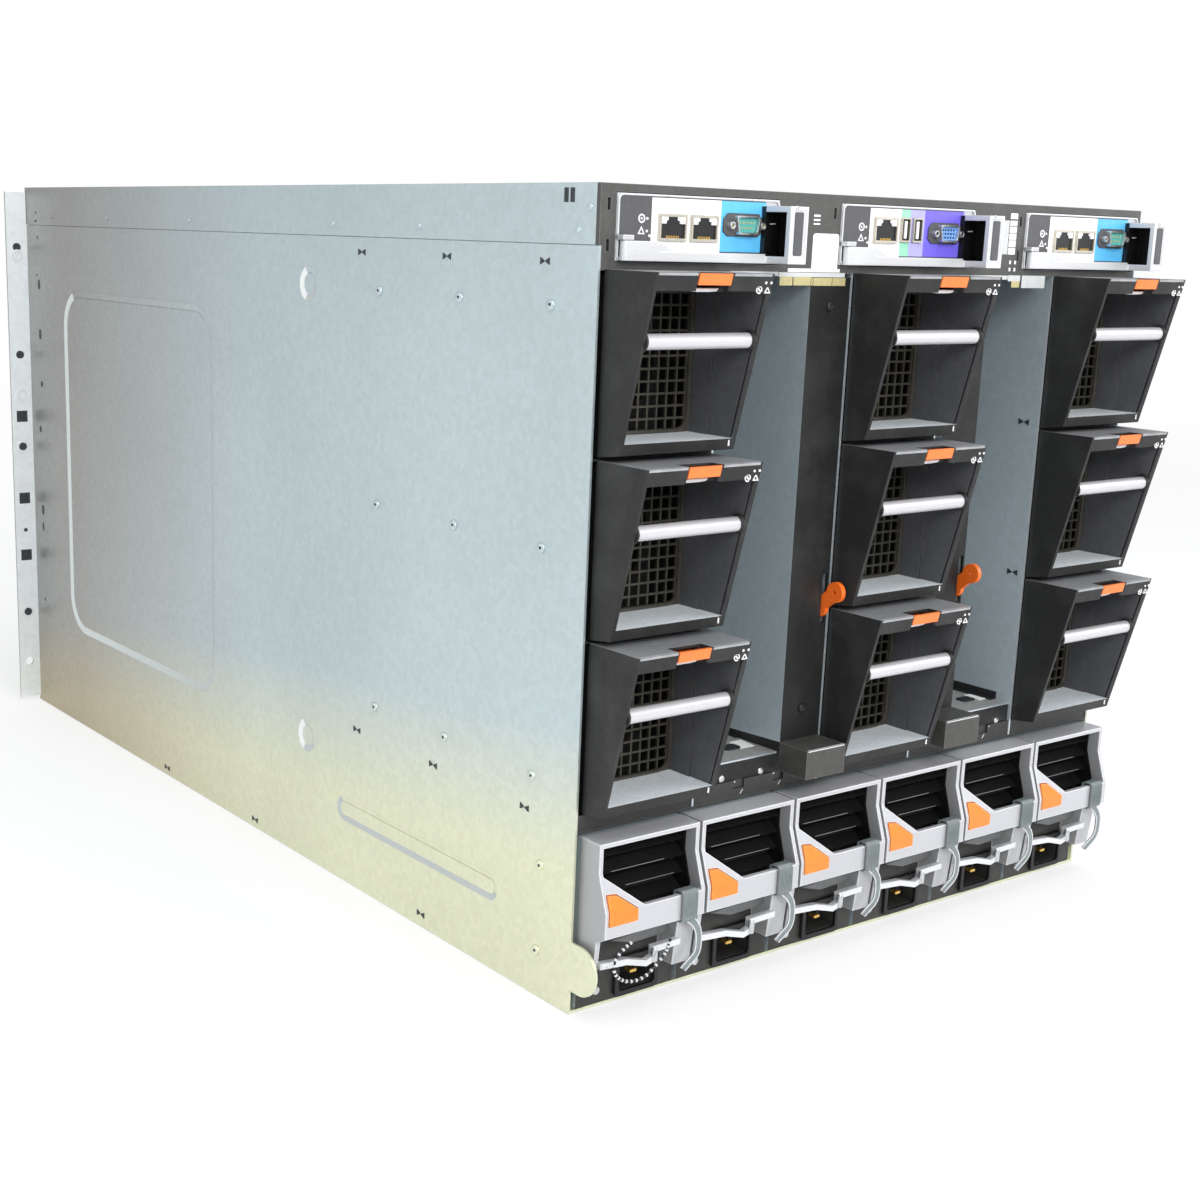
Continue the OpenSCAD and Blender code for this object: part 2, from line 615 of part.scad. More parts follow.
module hood() difference() {
    top = hood_h;
    low = hood_low;
    mouth_y = hood_front(3) - mouth_d;
    union() {
        difference() {
            side_profile(-fan_w / 2, fan_w / 2,
                [[0.3, top], [hood_out, top], [hood_out_low, low], [0.3, low - 2.3]]);
            side_profile(-fan_w / 2 + hood_wall, fan_w / 2 - hood_wall,
                [[-1, top - 3], [hood_front(3) - 2.5, top - 3], [hood_front(hood_band_h) - 2.5, top - hood_band_h],
                 [hood_out + 5, top - hood_band_h], [hood_out + 5, ledge_z], [-1, ledge_z]]);
            // seam between liner and shell
            for (s = [-1, 1]) translate([s * (fan_w / 2 - hood_wall), 0, 0])
                side_profile(-0.9, 0.9,
                    [[hood_front(hood_band_h) - 1.6, top - hood_band_h], [hood_front(hood_band_h) - 2.6, top - hood_band_h],
                     [hood_front(top - ledge_z) - 2.6, ledge_z], [hood_front(top - ledge_z) - 1.6, ledge_z]]);
        }
        // scoop that holds the latch
        block(-scoop_x - scoop_wall, scoop_x + scoop_wall, 1, mouth_y, top - scoop_z - scoop_floor, top - 1);
    }
    block(-scoop_x, scoop_x, 3, mouth_y + 1, top - scoop_z, top - scoop_skin);
    block(-scoop_x, scoop_x, mouth_y, hood_out + 1, top - hood_band_h - 1, top + 1);
    bar_x(-scoop_x - 1.6, scoop_x + 1.6, latch_axis_y, top + latch_axis_z, latch_pin + 2 * seat);
}

module fan_housing(n) color("dimgray") at_fan(n) {
    hood();
    bar_x(-fan_w / 2 + hood_wall, fan_w / 2 - hood_wall, hood_front(grip_drop) - grip_d / 2 - 0.4, hood_h - grip_drop, grip_d);
    // duct
    difference() {
        block(-duct_x, duct_x, -fan_len, 0.3, seat, body_top);
        block(-duct_x + duct_wall, duct_x - duct_wall, -fan_len - 1, 1, seat + duct_wall, body_top - duct_wall);
    }
    // ledge in front of the guard
    block(-duct_x + duct_wall, duct_x - duct_wall, guard_y + guard_t, 1, seat + duct_wall, ledge_z);
    // square mesh guard
    translate([0, guard_y + guard_t, 0]) rotate([90, 0, 0]) linear_extrude(guard_t) difference() {
        translate([-duct_x + duct_wall, seat + duct_wall])
            square([2 * (duct_x - duct_wall), body_top - seat - 2 * duct_wall]);
        for (i = [0:mesh_cols - 1], j = [0:mesh_rows - 1])
            translate([(i - (mesh_cols - 1) / 2) * mesh_pitch, axis_z + (j - (mesh_rows - 1) / 2) * mesh_pitch])
                square(mesh_pitch - mesh_bar, center = true);
    }
    // ring round the impeller
    difference() {
        union() {
            block(-duct_x + duct_wall, duct_x - duct_wall, ring_y, ring_y + 2, seat + duct_wall, body_top - duct_wall);
            bar_y(0, strut_y + 2, ring_y + 1, axis_z, impeller_d + 2 * impeller_gap + 3);
        }
        bar_y(0, strut_y, ring_y + 3, axis_z, impeller_d + 2 * impeller_gap);
    }
    // struts, motor plate and shaft
    for (a = [45, -45])
        translate([0, strut_y + strut_t / 2, axis_z]) rotate([0, a, 0])
            cube([impeller_d + 2 * impeller_gap + 2.6, strut_t, 5], center = true);
    bar_y(0, strut_y, strut_y + strut_t, axis_z, hub_d);
    bar_y(0, strut_y + strut_t, strut_y + strut_t + 1 + hub_len + 4, axis_z, shaft_d);
}

module fan_impeller(n) color("black") at_fan(n) translate([0, strut_y + strut_t + 1, axis_z])
    difference() {
        union() {
            bar_y(0, 0, hub_len, 0, hub_d);
            intersection() {
                for (k = [0:blade_count - 1])
                    rotate([0, k * 360 / blade_count, 0])
                        translate([impeller_d / 4 + hub_d / 8, hub_len / 2, 0]) rotate([38, 0, 0])
                            cube([impeller_d / 2, 1.6, 19], center = true);
                bar_y(0, 1, hub_len - 1, 0, impeller_d);
            }
        }
        bar_y(0, -1, hub_len + 1, 0, shaft_d + 2 * seat);
    }

module fan_latch(n) color("orange") at_fan(n) {
    half = fan_latch_w / 2;
    top = hood_h - seat;
    low = top - fan_latch_h;
    block(-half, half, latch_axis_y, hood_front(hood_h - low) - 1, low, low + latch_arm_t);
    side_profile(-half, half, [[hood_front(seat) - 2, top], [hood_front(seat), top],
        [hood_front(hood_h - low), low], [hood_front(hood_h - low) - 2, low]]);
    bar_x(-half, half, latch_axis_y, hood_h + latch_axis_z, 4);
    bar_x(-scoop_x - 1.3, scoop_x + 1.3, latch_axis_y, hood_h + latch_axis_z, latch_pin);
}

// ---- what is drawn ---------------------------------------------------------------

base_pan();
side_panel_left();
side_panel_right();
top_cover();
controller_cage();
bay_walls();
bay_shelves();
midplane();
blade_cage();
blade_mid_shelf();
front_grille();
for (i = [1:2]) {
    io_blank(i - 1);
    blank_latch(i - 1);
}
for (i = [1:3]) {
    controller_module(i - 1);
    controller_lever(i - 1);
}
for (i = [1:psu_count]) {
    psu_case(i - 1);
    psu_latch(i - 1);
}
for (n = [1:9]) {
    fan_housing(n);
    fan_impeller(n);
    fan_latch(n);
}
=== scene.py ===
"""The looks of the blade server chassis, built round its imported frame."""
import math
from functools import partial
import bpy
import bmesh
from mathutils import Matrix, Vector


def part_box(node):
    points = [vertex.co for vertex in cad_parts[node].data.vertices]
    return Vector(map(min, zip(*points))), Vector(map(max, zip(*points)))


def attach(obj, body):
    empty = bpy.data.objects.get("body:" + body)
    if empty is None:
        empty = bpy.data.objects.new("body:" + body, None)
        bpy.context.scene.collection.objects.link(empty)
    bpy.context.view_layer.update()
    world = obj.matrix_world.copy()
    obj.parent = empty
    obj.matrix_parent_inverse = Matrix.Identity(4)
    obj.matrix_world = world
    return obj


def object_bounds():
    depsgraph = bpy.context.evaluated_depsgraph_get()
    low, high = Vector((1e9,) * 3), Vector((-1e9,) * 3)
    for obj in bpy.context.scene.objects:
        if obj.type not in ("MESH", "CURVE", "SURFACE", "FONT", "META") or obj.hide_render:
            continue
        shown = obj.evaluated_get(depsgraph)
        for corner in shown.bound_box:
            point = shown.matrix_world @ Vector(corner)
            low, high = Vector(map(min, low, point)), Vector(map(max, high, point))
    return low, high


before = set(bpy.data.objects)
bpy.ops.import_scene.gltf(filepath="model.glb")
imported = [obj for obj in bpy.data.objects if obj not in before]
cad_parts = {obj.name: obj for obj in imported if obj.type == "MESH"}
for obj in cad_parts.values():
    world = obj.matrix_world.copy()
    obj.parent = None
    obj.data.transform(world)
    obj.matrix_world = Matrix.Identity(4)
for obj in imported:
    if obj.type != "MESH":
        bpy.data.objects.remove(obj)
CAD_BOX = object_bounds()
MM = 0.001

# ---- places, read from the frame, in millimetres ---------------------------------


def box_mm(node):
    """Lowest and highest corner of a CAD node, in millimetres."""
    lo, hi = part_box(node)
    return lo / MM, hi / MM


FRONT = box_mm("base_pan")[0].y
REAR = box_mm("bay_walls")[1].y
SIDE_X = box_mm("top_cover")[1].x
TOP = box_mm("top_cover")[1].z
BAY_WALLS = ((41.2, 1), (-41.2, -1), (138.8, -1), (-138.8, 1))  # x of each wall and the way it faces
# a fan's hood: height, reach of its front at the top and at its low edge, height of that
# edge and half the width; then the axis of its grip bar
HOOD_H, HOOD_OUT, HOOD_LOW_OUT, HOOD_LOW, HOOD_HALF = 94.6, 39.5, 17.0, 3.3, 39.5
BAR_Y, BAR_Z = 26.7, 60.6


def unit_origin(kind, n):
    """The corner or centre that the details of a unit are measured from."""
    if kind == "fan":
        lo, hi = box_mm(f"fan_housing_{n}")
        return Vector(((lo.x + hi.x) / 2, REAR, hi.z - HOOD_H))
    if kind == "psu":
        return Vector((box_mm(f"psu_case_{n}")[1].x, REAR, 0))
    if kind == "ctl":
        lo, hi = box_mm(f"controller_module_{n}")
        return Vector((hi.x, REAR, lo.z))
    lo, hi = box_mm(f"io_blank_{n}")
    return Vector((lo.x, REAR, 0))


# ---- materials ------------------------------------------------------------------


def node_makers(owner):
    """Empties the node tree of a material or world, and returns its makers of nodes and links."""
    owner.use_nodes = True
    owner.node_tree.nodes.clear()
    return owner.node_tree.nodes.new, owner.node_tree.links.new


def material(name, color, metallic=0.0, roughness=0.5, vary=0.06, scale=300.0,
             bump=0.0, bump_scale=900.0, broad=0.0, spangle=0.0,
             round_edges=0.0, coat=0.0, rough_vary=0.08, dust=0.0, edge=None, shades=(), spec=0.5):
    """A procedural finish: fine and broad colour variation, bump, dust, painted highlights on pale edges,
    and painted light and shade (direction, from, to, colour) that run along a direction, in metres."""
    m = bpy.data.materials.new(name)
    new, link = node_makers(m)
    out = new("ShaderNodeOutputMaterial")
    bsdf = new("ShaderNodeBsdfPrincipled")
    link(bsdf.outputs[0], out.inputs[0])
    bsdf.inputs["Metallic"].default_value = metallic
    bsdf.inputs["Specular IOR Level"].default_value = spec
    if coat:
        bsdf.inputs["Coat Weight"].default_value = coat
        bsdf.inputs["Coat Roughness"].default_value = 0.25
    place = new("ShaderNodeTexCoord").outputs["Object"]

    def noise(freq, detail=4.0):
        n = new("ShaderNodeTexNoise")
        n.inputs["Scale"].default_value = freq
        n.inputs["Detail"].default_value = detail
        link(place, n.inputs["Vector"])
        return n.outputs["Fac"]

    def ramp(value, lo, hi, a=0.3, b=0.7):
        r = new("ShaderNodeMapRange")
        r.inputs["From Min"].default_value, r.inputs["From Max"].default_value = a, b
        r.inputs["To Min"].default_value, r.inputs["To Max"].default_value = lo, hi
        link(value, r.inputs["Value"])
        return r.outputs[0]

    def multiply(a, b):
        n = new("ShaderNodeMath")
        n.operation = "MULTIPLY"
        link(a, n.inputs[0])
        link(b, n.inputs[1])
        return n.outputs[0]

    level = ramp(noise(scale), 1 - vary, 1 + vary)
    if broad:
        level = multiply(level, ramp(noise(5.0, 2.0), 1 - broad, 1 + broad))
    if spangle:
        v = new("ShaderNodeTexVoronoi")
        v.inputs["Scale"].default_value = 260.0
        link(place, v.inputs["Vector"])
        sep = new("ShaderNodeSeparateColor")
        link(v.outputs["Color"], sep.inputs[0])
        level = multiply(level, ramp(sep.outputs[0], 1 - spangle, 1 + spangle, 0.0, 1.0))
    tint = new("ShaderNodeMix")
    tint.data_type = "RGBA"
    tint.blend_type = "MULTIPLY"
    tint.inputs["Factor"].default_value = 1.0
    tint.inputs[6].default_value = (*color, 1)
    gray = new("ShaderNodeCombineColor")
    for i in range(3):
        link(level, gray.inputs[i])
    link(gray.outputs[0], tint.inputs[7])
    final = tint.outputs[2]
    # painted light and shade: the colour is multiplied by a tint along each direction
    for way, a, b, shade in shades:
        along = new("ShaderNodeVectorMath")
        along.operation = "DOT_PRODUCT"
        link(place, along.inputs[0])
        along.inputs[1].default_value = way
        s = new("ShaderNodeMix")
        s.data_type, s.blend_type = "RGBA", "MULTIPLY"
        s.inputs[7].default_value = (*shade, 1)
        link(ramp(along.outputs["Value"], 0, 1, a, b), s.inputs[0])
        link(final, s.inputs[6])
        final = s.outputs[2]
    if dust:
        d = new("ShaderNodeMix")
        d.data_type = "RGBA"
        d.inputs[7].default_value = (0.45, 0.46, 0.47, 1)
        link(ramp(noise(38.0, 8.0), 0.0, dust, 0.48, 0.78), d.inputs[0])
        link(final, d.inputs[6])
        final = d.outputs[2]
    # painted highlight: the colour turns pale at edges, where the bevelled normal leaves the true normal
    if edge:
        soft = new("ShaderNodeBevel")
        soft.samples = 4
        soft.inputs["Radius"].default_value = edge[0] * MM
        flat = new("ShaderNodeNewGeometry")
        turn = new("ShaderNodeVectorMath")
        turn.operation = "DOT_PRODUCT"
        link(soft.outputs[0], turn.inputs[0])
        link(flat.outputs["True Normal"], turn.inputs[1])
        e = new("ShaderNodeMix")
        e.data_type = "RGBA"
        e.inputs[7].default_value = (*edge[1], 1)
        link(ramp(turn.outputs["Value"], 1, 0, 0.86, 0.97), e.inputs[0])
        link(final, e.inputs[6])
        final = e.outputs[2]
    link(final, bsdf.inputs["Base Color"])
    link(ramp(noise(scale * 0.4), roughness - rough_vary, roughness + rough_vary), bsdf.inputs["Roughness"])
    normal = None
    if round_edges:
        bevel = new("ShaderNodeBevel")
        bevel.samples = 4
        bevel.inputs["Radius"].default_value = round_edges * MM
        normal = bevel.outputs[0]
    if bump:
        b = new("ShaderNodeBump")
        b.inputs["Strength"].default_value = bump
        b.inputs["Distance"].default_value = 0.0002
        link(noise(bump_scale, 3.0), b.inputs["Height"])
        if normal is not None:
            link(normal, b.inputs["Normal"])
        normal = b.outputs[0]
    if normal is not None:
        link(normal, bsdf.inputs["Normal"])
    return m


# galvanised sheet of the panels, with painted light: a warm painted floor reflection low down along a slanted line,
# painted shade towards the front and painted light towards the rear
GALVANISED = material("galvanised", (0.505, 0.585, 0.60), 0.75, 0.42, 0.03, 900, 0.05, 700,
                      broad=0.05, spangle=0.035, round_edges=0.5,
                      shades=(((0, -0.1, 1), 0.125, 0.045, (1.38, 1.21, 0.87)),
                              ((0, 1, 0), 0.02, -0.28, (0.66, 0.57, 0.53)),
                              ((0, 1, 0), 0.05, 0.37, (1.12, 1.12, 1.12))))
COVER_ZINC = material("galvanised_cover", (0.44, 0.48, 0.49), 0.1, 0.75, 0.03, 900, 0.05, 700,
                      broad=0.05, spangle=0.035, spec=0.2)
# a paler, less metallic copy of the galvanised sheet for the flanges' faces that look to the rear: painted light
FLANGE_PAINTED_LIGHT = material("flange_zinc", (0.72, 0.76, 0.77), 0.35, 0.42, 0.03, 900, 0.05, 700, spangle=0.03)
ZINC_INNER = material("galvanised_inner", (0.46, 0.53, 0.56), 0.4, 0.45, 0.04, 700, 0.05, 700,
                      broad=0.10, spangle=0.04, round_edges=0.4)
BRIGHT_EDGE = material("cut_edge", (0.72, 0.76, 0.79), 0.8, 0.35, 0.05, 900)
BLACK_SHEET = material("black_powder_coat", (0.013, 0.013, 0.013), 0.0, 0.5, 0.15, 500, 0.25, 1500,
                       round_edges=0.4, dust=0.03, spec=0.35)
CAGE_GREY = material("cage_powder_coat", (0.066, 0.065, 0.061), 0.0, 0.45, 0.12, 400, 0.25, 1400, broad=0.08,
                     edge=(0.8, (0.16, 0.16, 0.155)), dust=0.05)
PLATE_GREY = material("plate_sheet", (0.034, 0.033, 0.031), 0.1, 0.42, 0.12, 300, 0.2, 1300, broad=0.08,
                      edge=(0.5, (0.12, 0.12, 0.115)))
FOOT_GREY = material("filler_sheet", (0.058, 0.056, 0.051), 0.1, 0.42, 0.12, 300, 0.2, 1300,
                     broad=0.08, edge=(0.7, (0.20, 0.195, 0.185)), dust=0.05)
SHELF_GREY = material("shelf_sheet", (0.35, 0.352, 0.34), 0.3, 0.4, 0.1, 400, 0.15, 1000, broad=0.12)
HOOD_BLACK = material("hood_plastic", (0.019, 0.019, 0.0188), 0.0, 0.5, 0.12, 400, 0.3, 1300,
                      round_edges=0.6, dust=0.04, spec=0.33)
# the hoods' top faces made paler than the rest of the same plastic: painted light from above
HOOD_TOP_PAINTED_LIGHT = material("hood_top_painted_sheen", (0.22, 0.225, 0.235), 0.0, 0.45, 0.08, 300, 0.2, 1300,
                    broad=0.1, round_edges=0.6)
LINER_GREY = material("liner_plastic", (0.082, 0.084, 0.090), 0.0, 0.5, 0.10, 300, 0.25, 1300,
                      round_edges=0.6, dust=0.04)
# near white for the inner ledge and the lip under the latch, parts of the dark hood plastic: painted light and
# reflection
LEDGE_PAINTED_LIGHT = material("ledge_plastic", (0.76, 0.81, 0.84), 0.0, 0.45, 0.08, 300, 0.2, 1300,
                      round_edges=0.6)
GRIP_SILVER = material("grip_silver", (0.60, 0.60, 0.62), 0.3, 0.34, 0.015, 120, rough_vary=0.01)
MESH_DARK = material("guard_steel", (0.085, 0.077, 0.062), 0.6, 0.42, 0.2, 300, 0.1, 900)
ORANGE = material("orange_plastic", (0.93, 0.22, 0.02), 0.0, 0.38, 0.05, 300, 0.15, 1400,
                  round_edges=1.6, coat=0.15, edge=(1.5, (1.0, 0.42, 0.10)))
ORANGE_TAB = material("orange_tab", (0.93, 0.20, 0.035), 0.0, 0.4, 0.05, 300, 0.15, 1400,
                      round_edges=0.6, coat=0.1)
ORANGE_DEEP = material("orange_latch", (0.88, 0.155, 0.014), 0.0, 0.36, 0.05, 300, 0.15, 1400,
                       round_edges=0.5, coat=0.2)
# a darker copy of the handle silver for the supplies' faces that look to +X: painted shade
HANDLE_SHADED_SIDE = material("handle_painted_shade_side", (0.40, 0.405, 0.41), 0.35, 0.4, 0.04, 1200, 0.08, 1700,
                       broad=0.04, round_edges=0.9, edge=(1.3, (0.80, 0.81, 0.82)))
HANDLE_SILVER = material("handle_silver", (0.56, 0.563, 0.585), 0.4, 0.4, 0.04, 1200, 0.08, 1700,
                         broad=0.04, round_edges=0.9, edge=(1.3, (0.92, 0.93, 0.95)))
LEVER_SILVER = material("lever_silver", (0.66, 0.665, 0.68), 0.3, 0.4, 0.04, 1200, 0.08, 1700,
                        broad=0.04, round_edges=0.8, edge=(1.0, (0.92, 0.93, 0.94)))
CASE_BLACK = material("case_black", (0.012, 0.012, 0.013), 0.0, 0.5, 0.2, 400, 0.1, 900, round_edges=0.4)
BACK_BLACK = material("supply_black", (0.035, 0.034, 0.031), 0.1, 0.45, 0.2, 200, 0.1, 900, broad=0.3, round_edges=0.4)
SOCKET_BLACK = material("socket_black", (0.006, 0.006, 0.007), 0.0, 0.35, 0.2, 500, 0.1, 1200, round_edges=0.3)
STEEL = material("bright_steel", (0.66, 0.67, 0.68), 0.9, 0.28, 0.04, 800, 0.05, 1200)
EDGE_SILVER = material("edge_silver", (0.72, 0.73, 0.74), 0.35, 0.35, 0.03, 300)
GOLD = material("gold_contact", (0.85, 0.55, 0.16), 0.9, 0.3, 0.06, 900)
BOARD = material("circuit_board", (0.012, 0.055, 0.03), 0.0, 0.4, 0.25, 160, 0.2, 500)
IMPELLER = material("impeller_black", (0.01, 0.01, 0.011), 0.0, 0.4, 0.2, 300, 0.1, 900, round_edges=0.5)

# ---- who wears what ----------------------------------------------------------------

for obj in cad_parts.values():
    obj.data.materials.clear()


def paint(node, rules):
    """Gives a CAD node its materials. rules: material, or a list of (material, test of
    a face's centre and normal in millimetres); the first test that holds wins."""
    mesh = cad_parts[node].data
    if not isinstance(rules, list):
        rules = [(rules, None)]
    for mat, _ in rules:
        mesh.materials.append(mat)
    for poly in mesh.polygons:
        c, n = poly.center / MM, poly.normal
        for i, (_, test) in enumerate(rules):
            if test is None or test(c, n):
                poly.material_index = i
                break


# the rack flanges' faces towards the rear take the paler copy of the sheet: painted light
for name in ("base_pan", "side_panel_left", "side_panel_right", "top_cover"):
    paint(name, [
        (FLANGE_PAINTED_LIGHT, lambda c, n: abs(c.x) > SIDE_X + 0.4 and c.y < FRONT + 3 and n.y > 0.5),
        (COVER_ZINC, lambda c, n: n.z > 0.9 and c.z > 400),
        (GALVANISED, None)])
for name in ("blade_cage", "blade_mid_shelf"):
    paint(name, ZINC_INNER)
paint("bay_walls", [(BRIGHT_EDGE, lambda c, n: n.y > 0.9), (ZINC_INNER, None)])
paint("controller_cage", [(CAGE_GREY, lambda c, n: c.y > REAR - 4), (BLACK_SHEET, None)])
paint("front_grille", BLACK_SHEET)
paint("midplane", BOARD)
paint("bay_shelves", [
    (SHELF_GREY, lambda c, n: 41 < abs(c.x) < 139 and c.z > 120 and n.z > 0.9),
    (PLATE_GREY, lambda c, n: c.y > REAR - 2.2 and c.z < 114 and n.y > 0.5),
    (BLACK_SHEET, None)])
for i in (1, 2):
    paint(f"io_blank_{i}", [
        (ZINC_INNER, lambda c, n: c.y < REAR - 1.6 and abs(n.x) > 0.5 and c.z > 132),
        (FOOT_GREY, lambda c, n: c.y > REAR + 1 and c.z < 133),
        (BLACK_SHEET, None)])
    paint(f"blank_latch_{i}", ORANGE_DEEP)
for i in (1, 2, 3):
    o = unit_origin("ctl", i)
    paint(f"controller_module_{i}", [
        (BLACK_SHEET, lambda c, n: n.y > 0.9 and c.y < REAR - 1),
        (HANDLE_SILVER, lambda c, n: c.y > REAR - 2.1),
        (COVER_ZINC, lambda c, n: n.z > 0.9),
        (ZINC_INNER, None)])
    paint(f"controller_lever_{i}", [
        (SOCKET_BLACK, lambda c, n, o=o: 99.2 < o.x - c.x < 110.6 and 3.7 < c.y - REAR < 19.1
            and 3.9 < c.z - o.z < 26.8),
        (LEVER_SILVER, None)])
for i in range(1, 7):
    paint(f"psu_case_{i}", [
        (BACK_BLACK, lambda c, n: c.y <= REAR + 0.01 and c.y > REAR - 30),
        (ZINC_INNER, lambda c, n: c.y < REAR - 30),
        (EDGE_SILVER, lambda c, n: c.y > REAR + 16.5 and 24 < c.z < 37.5),
        # faces towards +X take the darker copy: painted shade
        (HANDLE_SHADED_SIDE, lambda c, n: n.x > 0.9),
        (HANDLE_SILVER, None)])
    paint(f"psu_latch_{i}", ORANGE)
for i in range(1, 10):
    o = unit_origin("fan", i)
    paint(f"fan_housing_{i}", [
        (MESH_DARK, lambda c, n: REAR - 17.2 < c.y < REAR - 15.3),
        (GRIP_SILVER, lambda c, n, o=o: abs(c.x - o.x) < 38 and abs(n.x) < 0.3
            and math.hypot(c.z - o.z - BAR_Z, c.y - REAR - BAR_Y) < 4.3),
        (CASE_BLACK, lambda c, n: c.y < REAR - 17),
        # the inner floor ledge: painted light
        (LEDGE_PAINTED_LIGHT, lambda c, n, o=o: n.z > 0.7 and 9.0 < c.z - o.z < 9.6 and c.y > REAR - 15.6),
        # upward top faces of the hood: painted light
        (HOOD_TOP_PAINTED_LIGHT, lambda c, n, o=o: n.z > 0.9 and c.z - o.z > HOOD_H - 0.1 and c.y > REAR),
        (LINER_GREY, lambda c, n, o=o: abs(c.x - o.x) < 38 and c.y < REAR + 50
            and 4 < c.z - o.z < 91.8 and n.y < 0.5),
        (HOOD_BLACK, None)])
    paint(f"fan_impeller_{i}", IMPELLER)
    paint(f"fan_latch_{i}", ORANGE_TAB)

# the upper face of the shelves: the highest one that looks up, below the shelves' walls
SHELF_Z = max(p.center.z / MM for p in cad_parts["bay_shelves"].data.polygons
              if p.normal.z > 0.9 and p.center.z < 0.15)

# ---- shapes -----------------------------------------------------------------------

PLANES = {"x": lambda u, v, w: (w, u, v), "y": lambda u, v, w: (u, w, v), "z": lambda u, v, w: (u, v, w)}


def rect(x, z, t=0.0):
    """A rectangle's outline, drawn in by t."""
    return [(x[0] + t, z[0] + t), (x[1] - t, z[0] + t), (x[1] - t, z[1] - t), (x[0] + t, z[1] - t)]


def circle(x, z, r, n=20, start=0.0, tall=1.0):
    """The outline of a circle or regular polygon of n points, made an ellipse by tall."""
    turn = [start + 2 * math.pi * k / n for k in range(n)]
    return [(x + r * math.cos(a), z + r * tall * math.sin(a)) for a in turn]


class Shape:
    """Solids gathered in millimetres round an origin, then made into one piece. flip is -1
    where x is measured to the right; name holds {} for the part's own name."""

    def __init__(self, origin=(0, 0, 0), flip=1, name="{}", body="root", slot=None):
        self.bm = bmesh.new()
        self.origin = Vector(origin)
        self.flip = flip
        self.name, self.body, self.slot = name, body, slot

    def solid(self, points, faces):
        vs = [self.bm.verts.new(self.origin + Vector((p[0] * self.flip, p[1], p[2]))) for p in points]
        for face in faces:
            self.bm.faces.new([vs[i] for i in face])

    def prism(self, outline, axis, a, b):
        """An outline across an axis, run from a to b along it: x (y, z), y (x, z), z (x, y)."""
        n = len(outline)
        points = [PLANES[axis](u, v, w) for w in (a, b) for u, v in outline]
        sides = [(i, (i + 1) % n, (i + 1) % n + n, i + n) for i in range(n)]
        self.solid(points, [tuple(range(n)), tuple(range(2 * n - 1, n - 1, -1))] + sides)

    def box(self, x, y, z):
        self.prism(rect(x, z), "y", *y)

    def lathe(self, centre, axis, profile, sides=14):
        """A (radius, height) profile turned round an axis through centre."""
        c = Vector(centre)
        points, faces = [], []
        for r, h in profile:
            for k in range(sides):
                a = 2 * math.pi * k / sides
                points.append(c + Vector(PLANES[axis](r * math.cos(a), r * math.sin(a), h)))
        for j in range(len(profile) - 1):
            for k in range(sides):
                m = (k + 1) % sides
                faces.append((j * sides + k, j * sides + m, (j + 1) * sides + m, (j + 1) * sides + k))
        last = (len(profile) - 1) * sides
        faces += [tuple(range(sides)), tuple(last + k for k in reversed(range(sides)))]
        self.solid(points, faces)

    def tube(self, path, r, sides=8, closed=False):
        """A round wire along a path of points."""
        path = [Vector(p) for p in path]
        n = len(path)
        points, faces = [], []
        normal = None
        for i, p in enumerate(path):
            ahead = path[(i + 1) % n] if closed or i < n - 1 else p
            back = path[i - 1] if closed or i > 0 else p
            t = (ahead - back).normalized()
            if normal is None:
                normal = t.orthogonal().normalized()
            normal = (normal - t * normal.dot(t)).normalized()
            side = t.cross(normal)
            for k in range(sides):
                a = 2 * math.pi * k / sides
                points.append(p + (normal * math.cos(a) + side * math.sin(a)) * r)
        for j in range(n if closed else n - 1):
            for k in range(sides):
                m, q = (k + 1) % sides, (j + 1) % n
                faces.append((j * sides + k, j * sides + m, q * sides + m, q * sides + k))
        if not closed:
            faces += [tuple(range(sides)), tuple((n - 1) * sides + k for k in reversed(range(sides)))]
        self.solid(points, faces)

    def ring(self, outline, inner, axis, a, b):
        """The space between two outlines with as many points, run along an axis."""
        n = len(outline)
        points = [PLANES[axis](u, v, w) for w in (a, b) for u, v in outline + inner]
        faces = []
        for i in range(n):
            j = (i + 1) % n
            faces += [(i, j, j + n, i + n), (i + 2 * n, i + 3 * n, j + 3 * n, j + 2 * n),
                      (i, i + 2 * n, j + 2 * n, j), (i + n, j + n, j + 3 * n, i + 3 * n)]
        self.solid(points, faces)

    def done(self, part, mat, bevel=0.0, slot=None, smooth=35):
        """Makes the piece, with its edges rounded by bevel millimetres."""
        bm, name, body, slot = self.bm, self.name.format(part), self.body, slot or self.slot
        bmesh.ops.recalc_face_normals(bm, faces=bm.faces)
        if bevel:
            sharp = [e for e in bm.edges if e.is_manifold and e.calc_face_angle(0) > 0.5]
            bmesh.ops.bevel(bm, geom=sharp, offset=bevel, segments=2, affect="EDGES", clamp_overlap=True)
        bmesh.ops.scale(bm, vec=(MM,) * 3, verts=bm.verts)
        mesh = bpy.data.meshes.new(name)
        bm.to_mesh(mesh)
        bm.free()
        for poly in mesh.polygons:
            poly.use_smooth = True
        mesh.set_sharp_from_angle(angle=math.radians(smooth))
        mesh.materials.append(mat)
        piece = bpy.data.objects.new(name, mesh)
        bpy.context.scene.collection.objects.link(piece)
        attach(piece, body)
        return piece


def rounded(x, z, r, steps=4):
    """A rectangle's outline with rounded corners."""
    corners = [(x[1] - r, z[1] - r, 0), (x[0] + r, z[1] - r, 1), (x[0] + r, z[0] + r, 2), (x[1] - r, z[0] + r, 3)]
    turn = [math.radians(90 * k / steps) for k in range(steps + 1)]
    return [(cx + r * math.cos(a + q * math.pi / 2), cz + r * math.sin(a + q * math.pi / 2))
            for cx, cz, q in corners for a in turn]


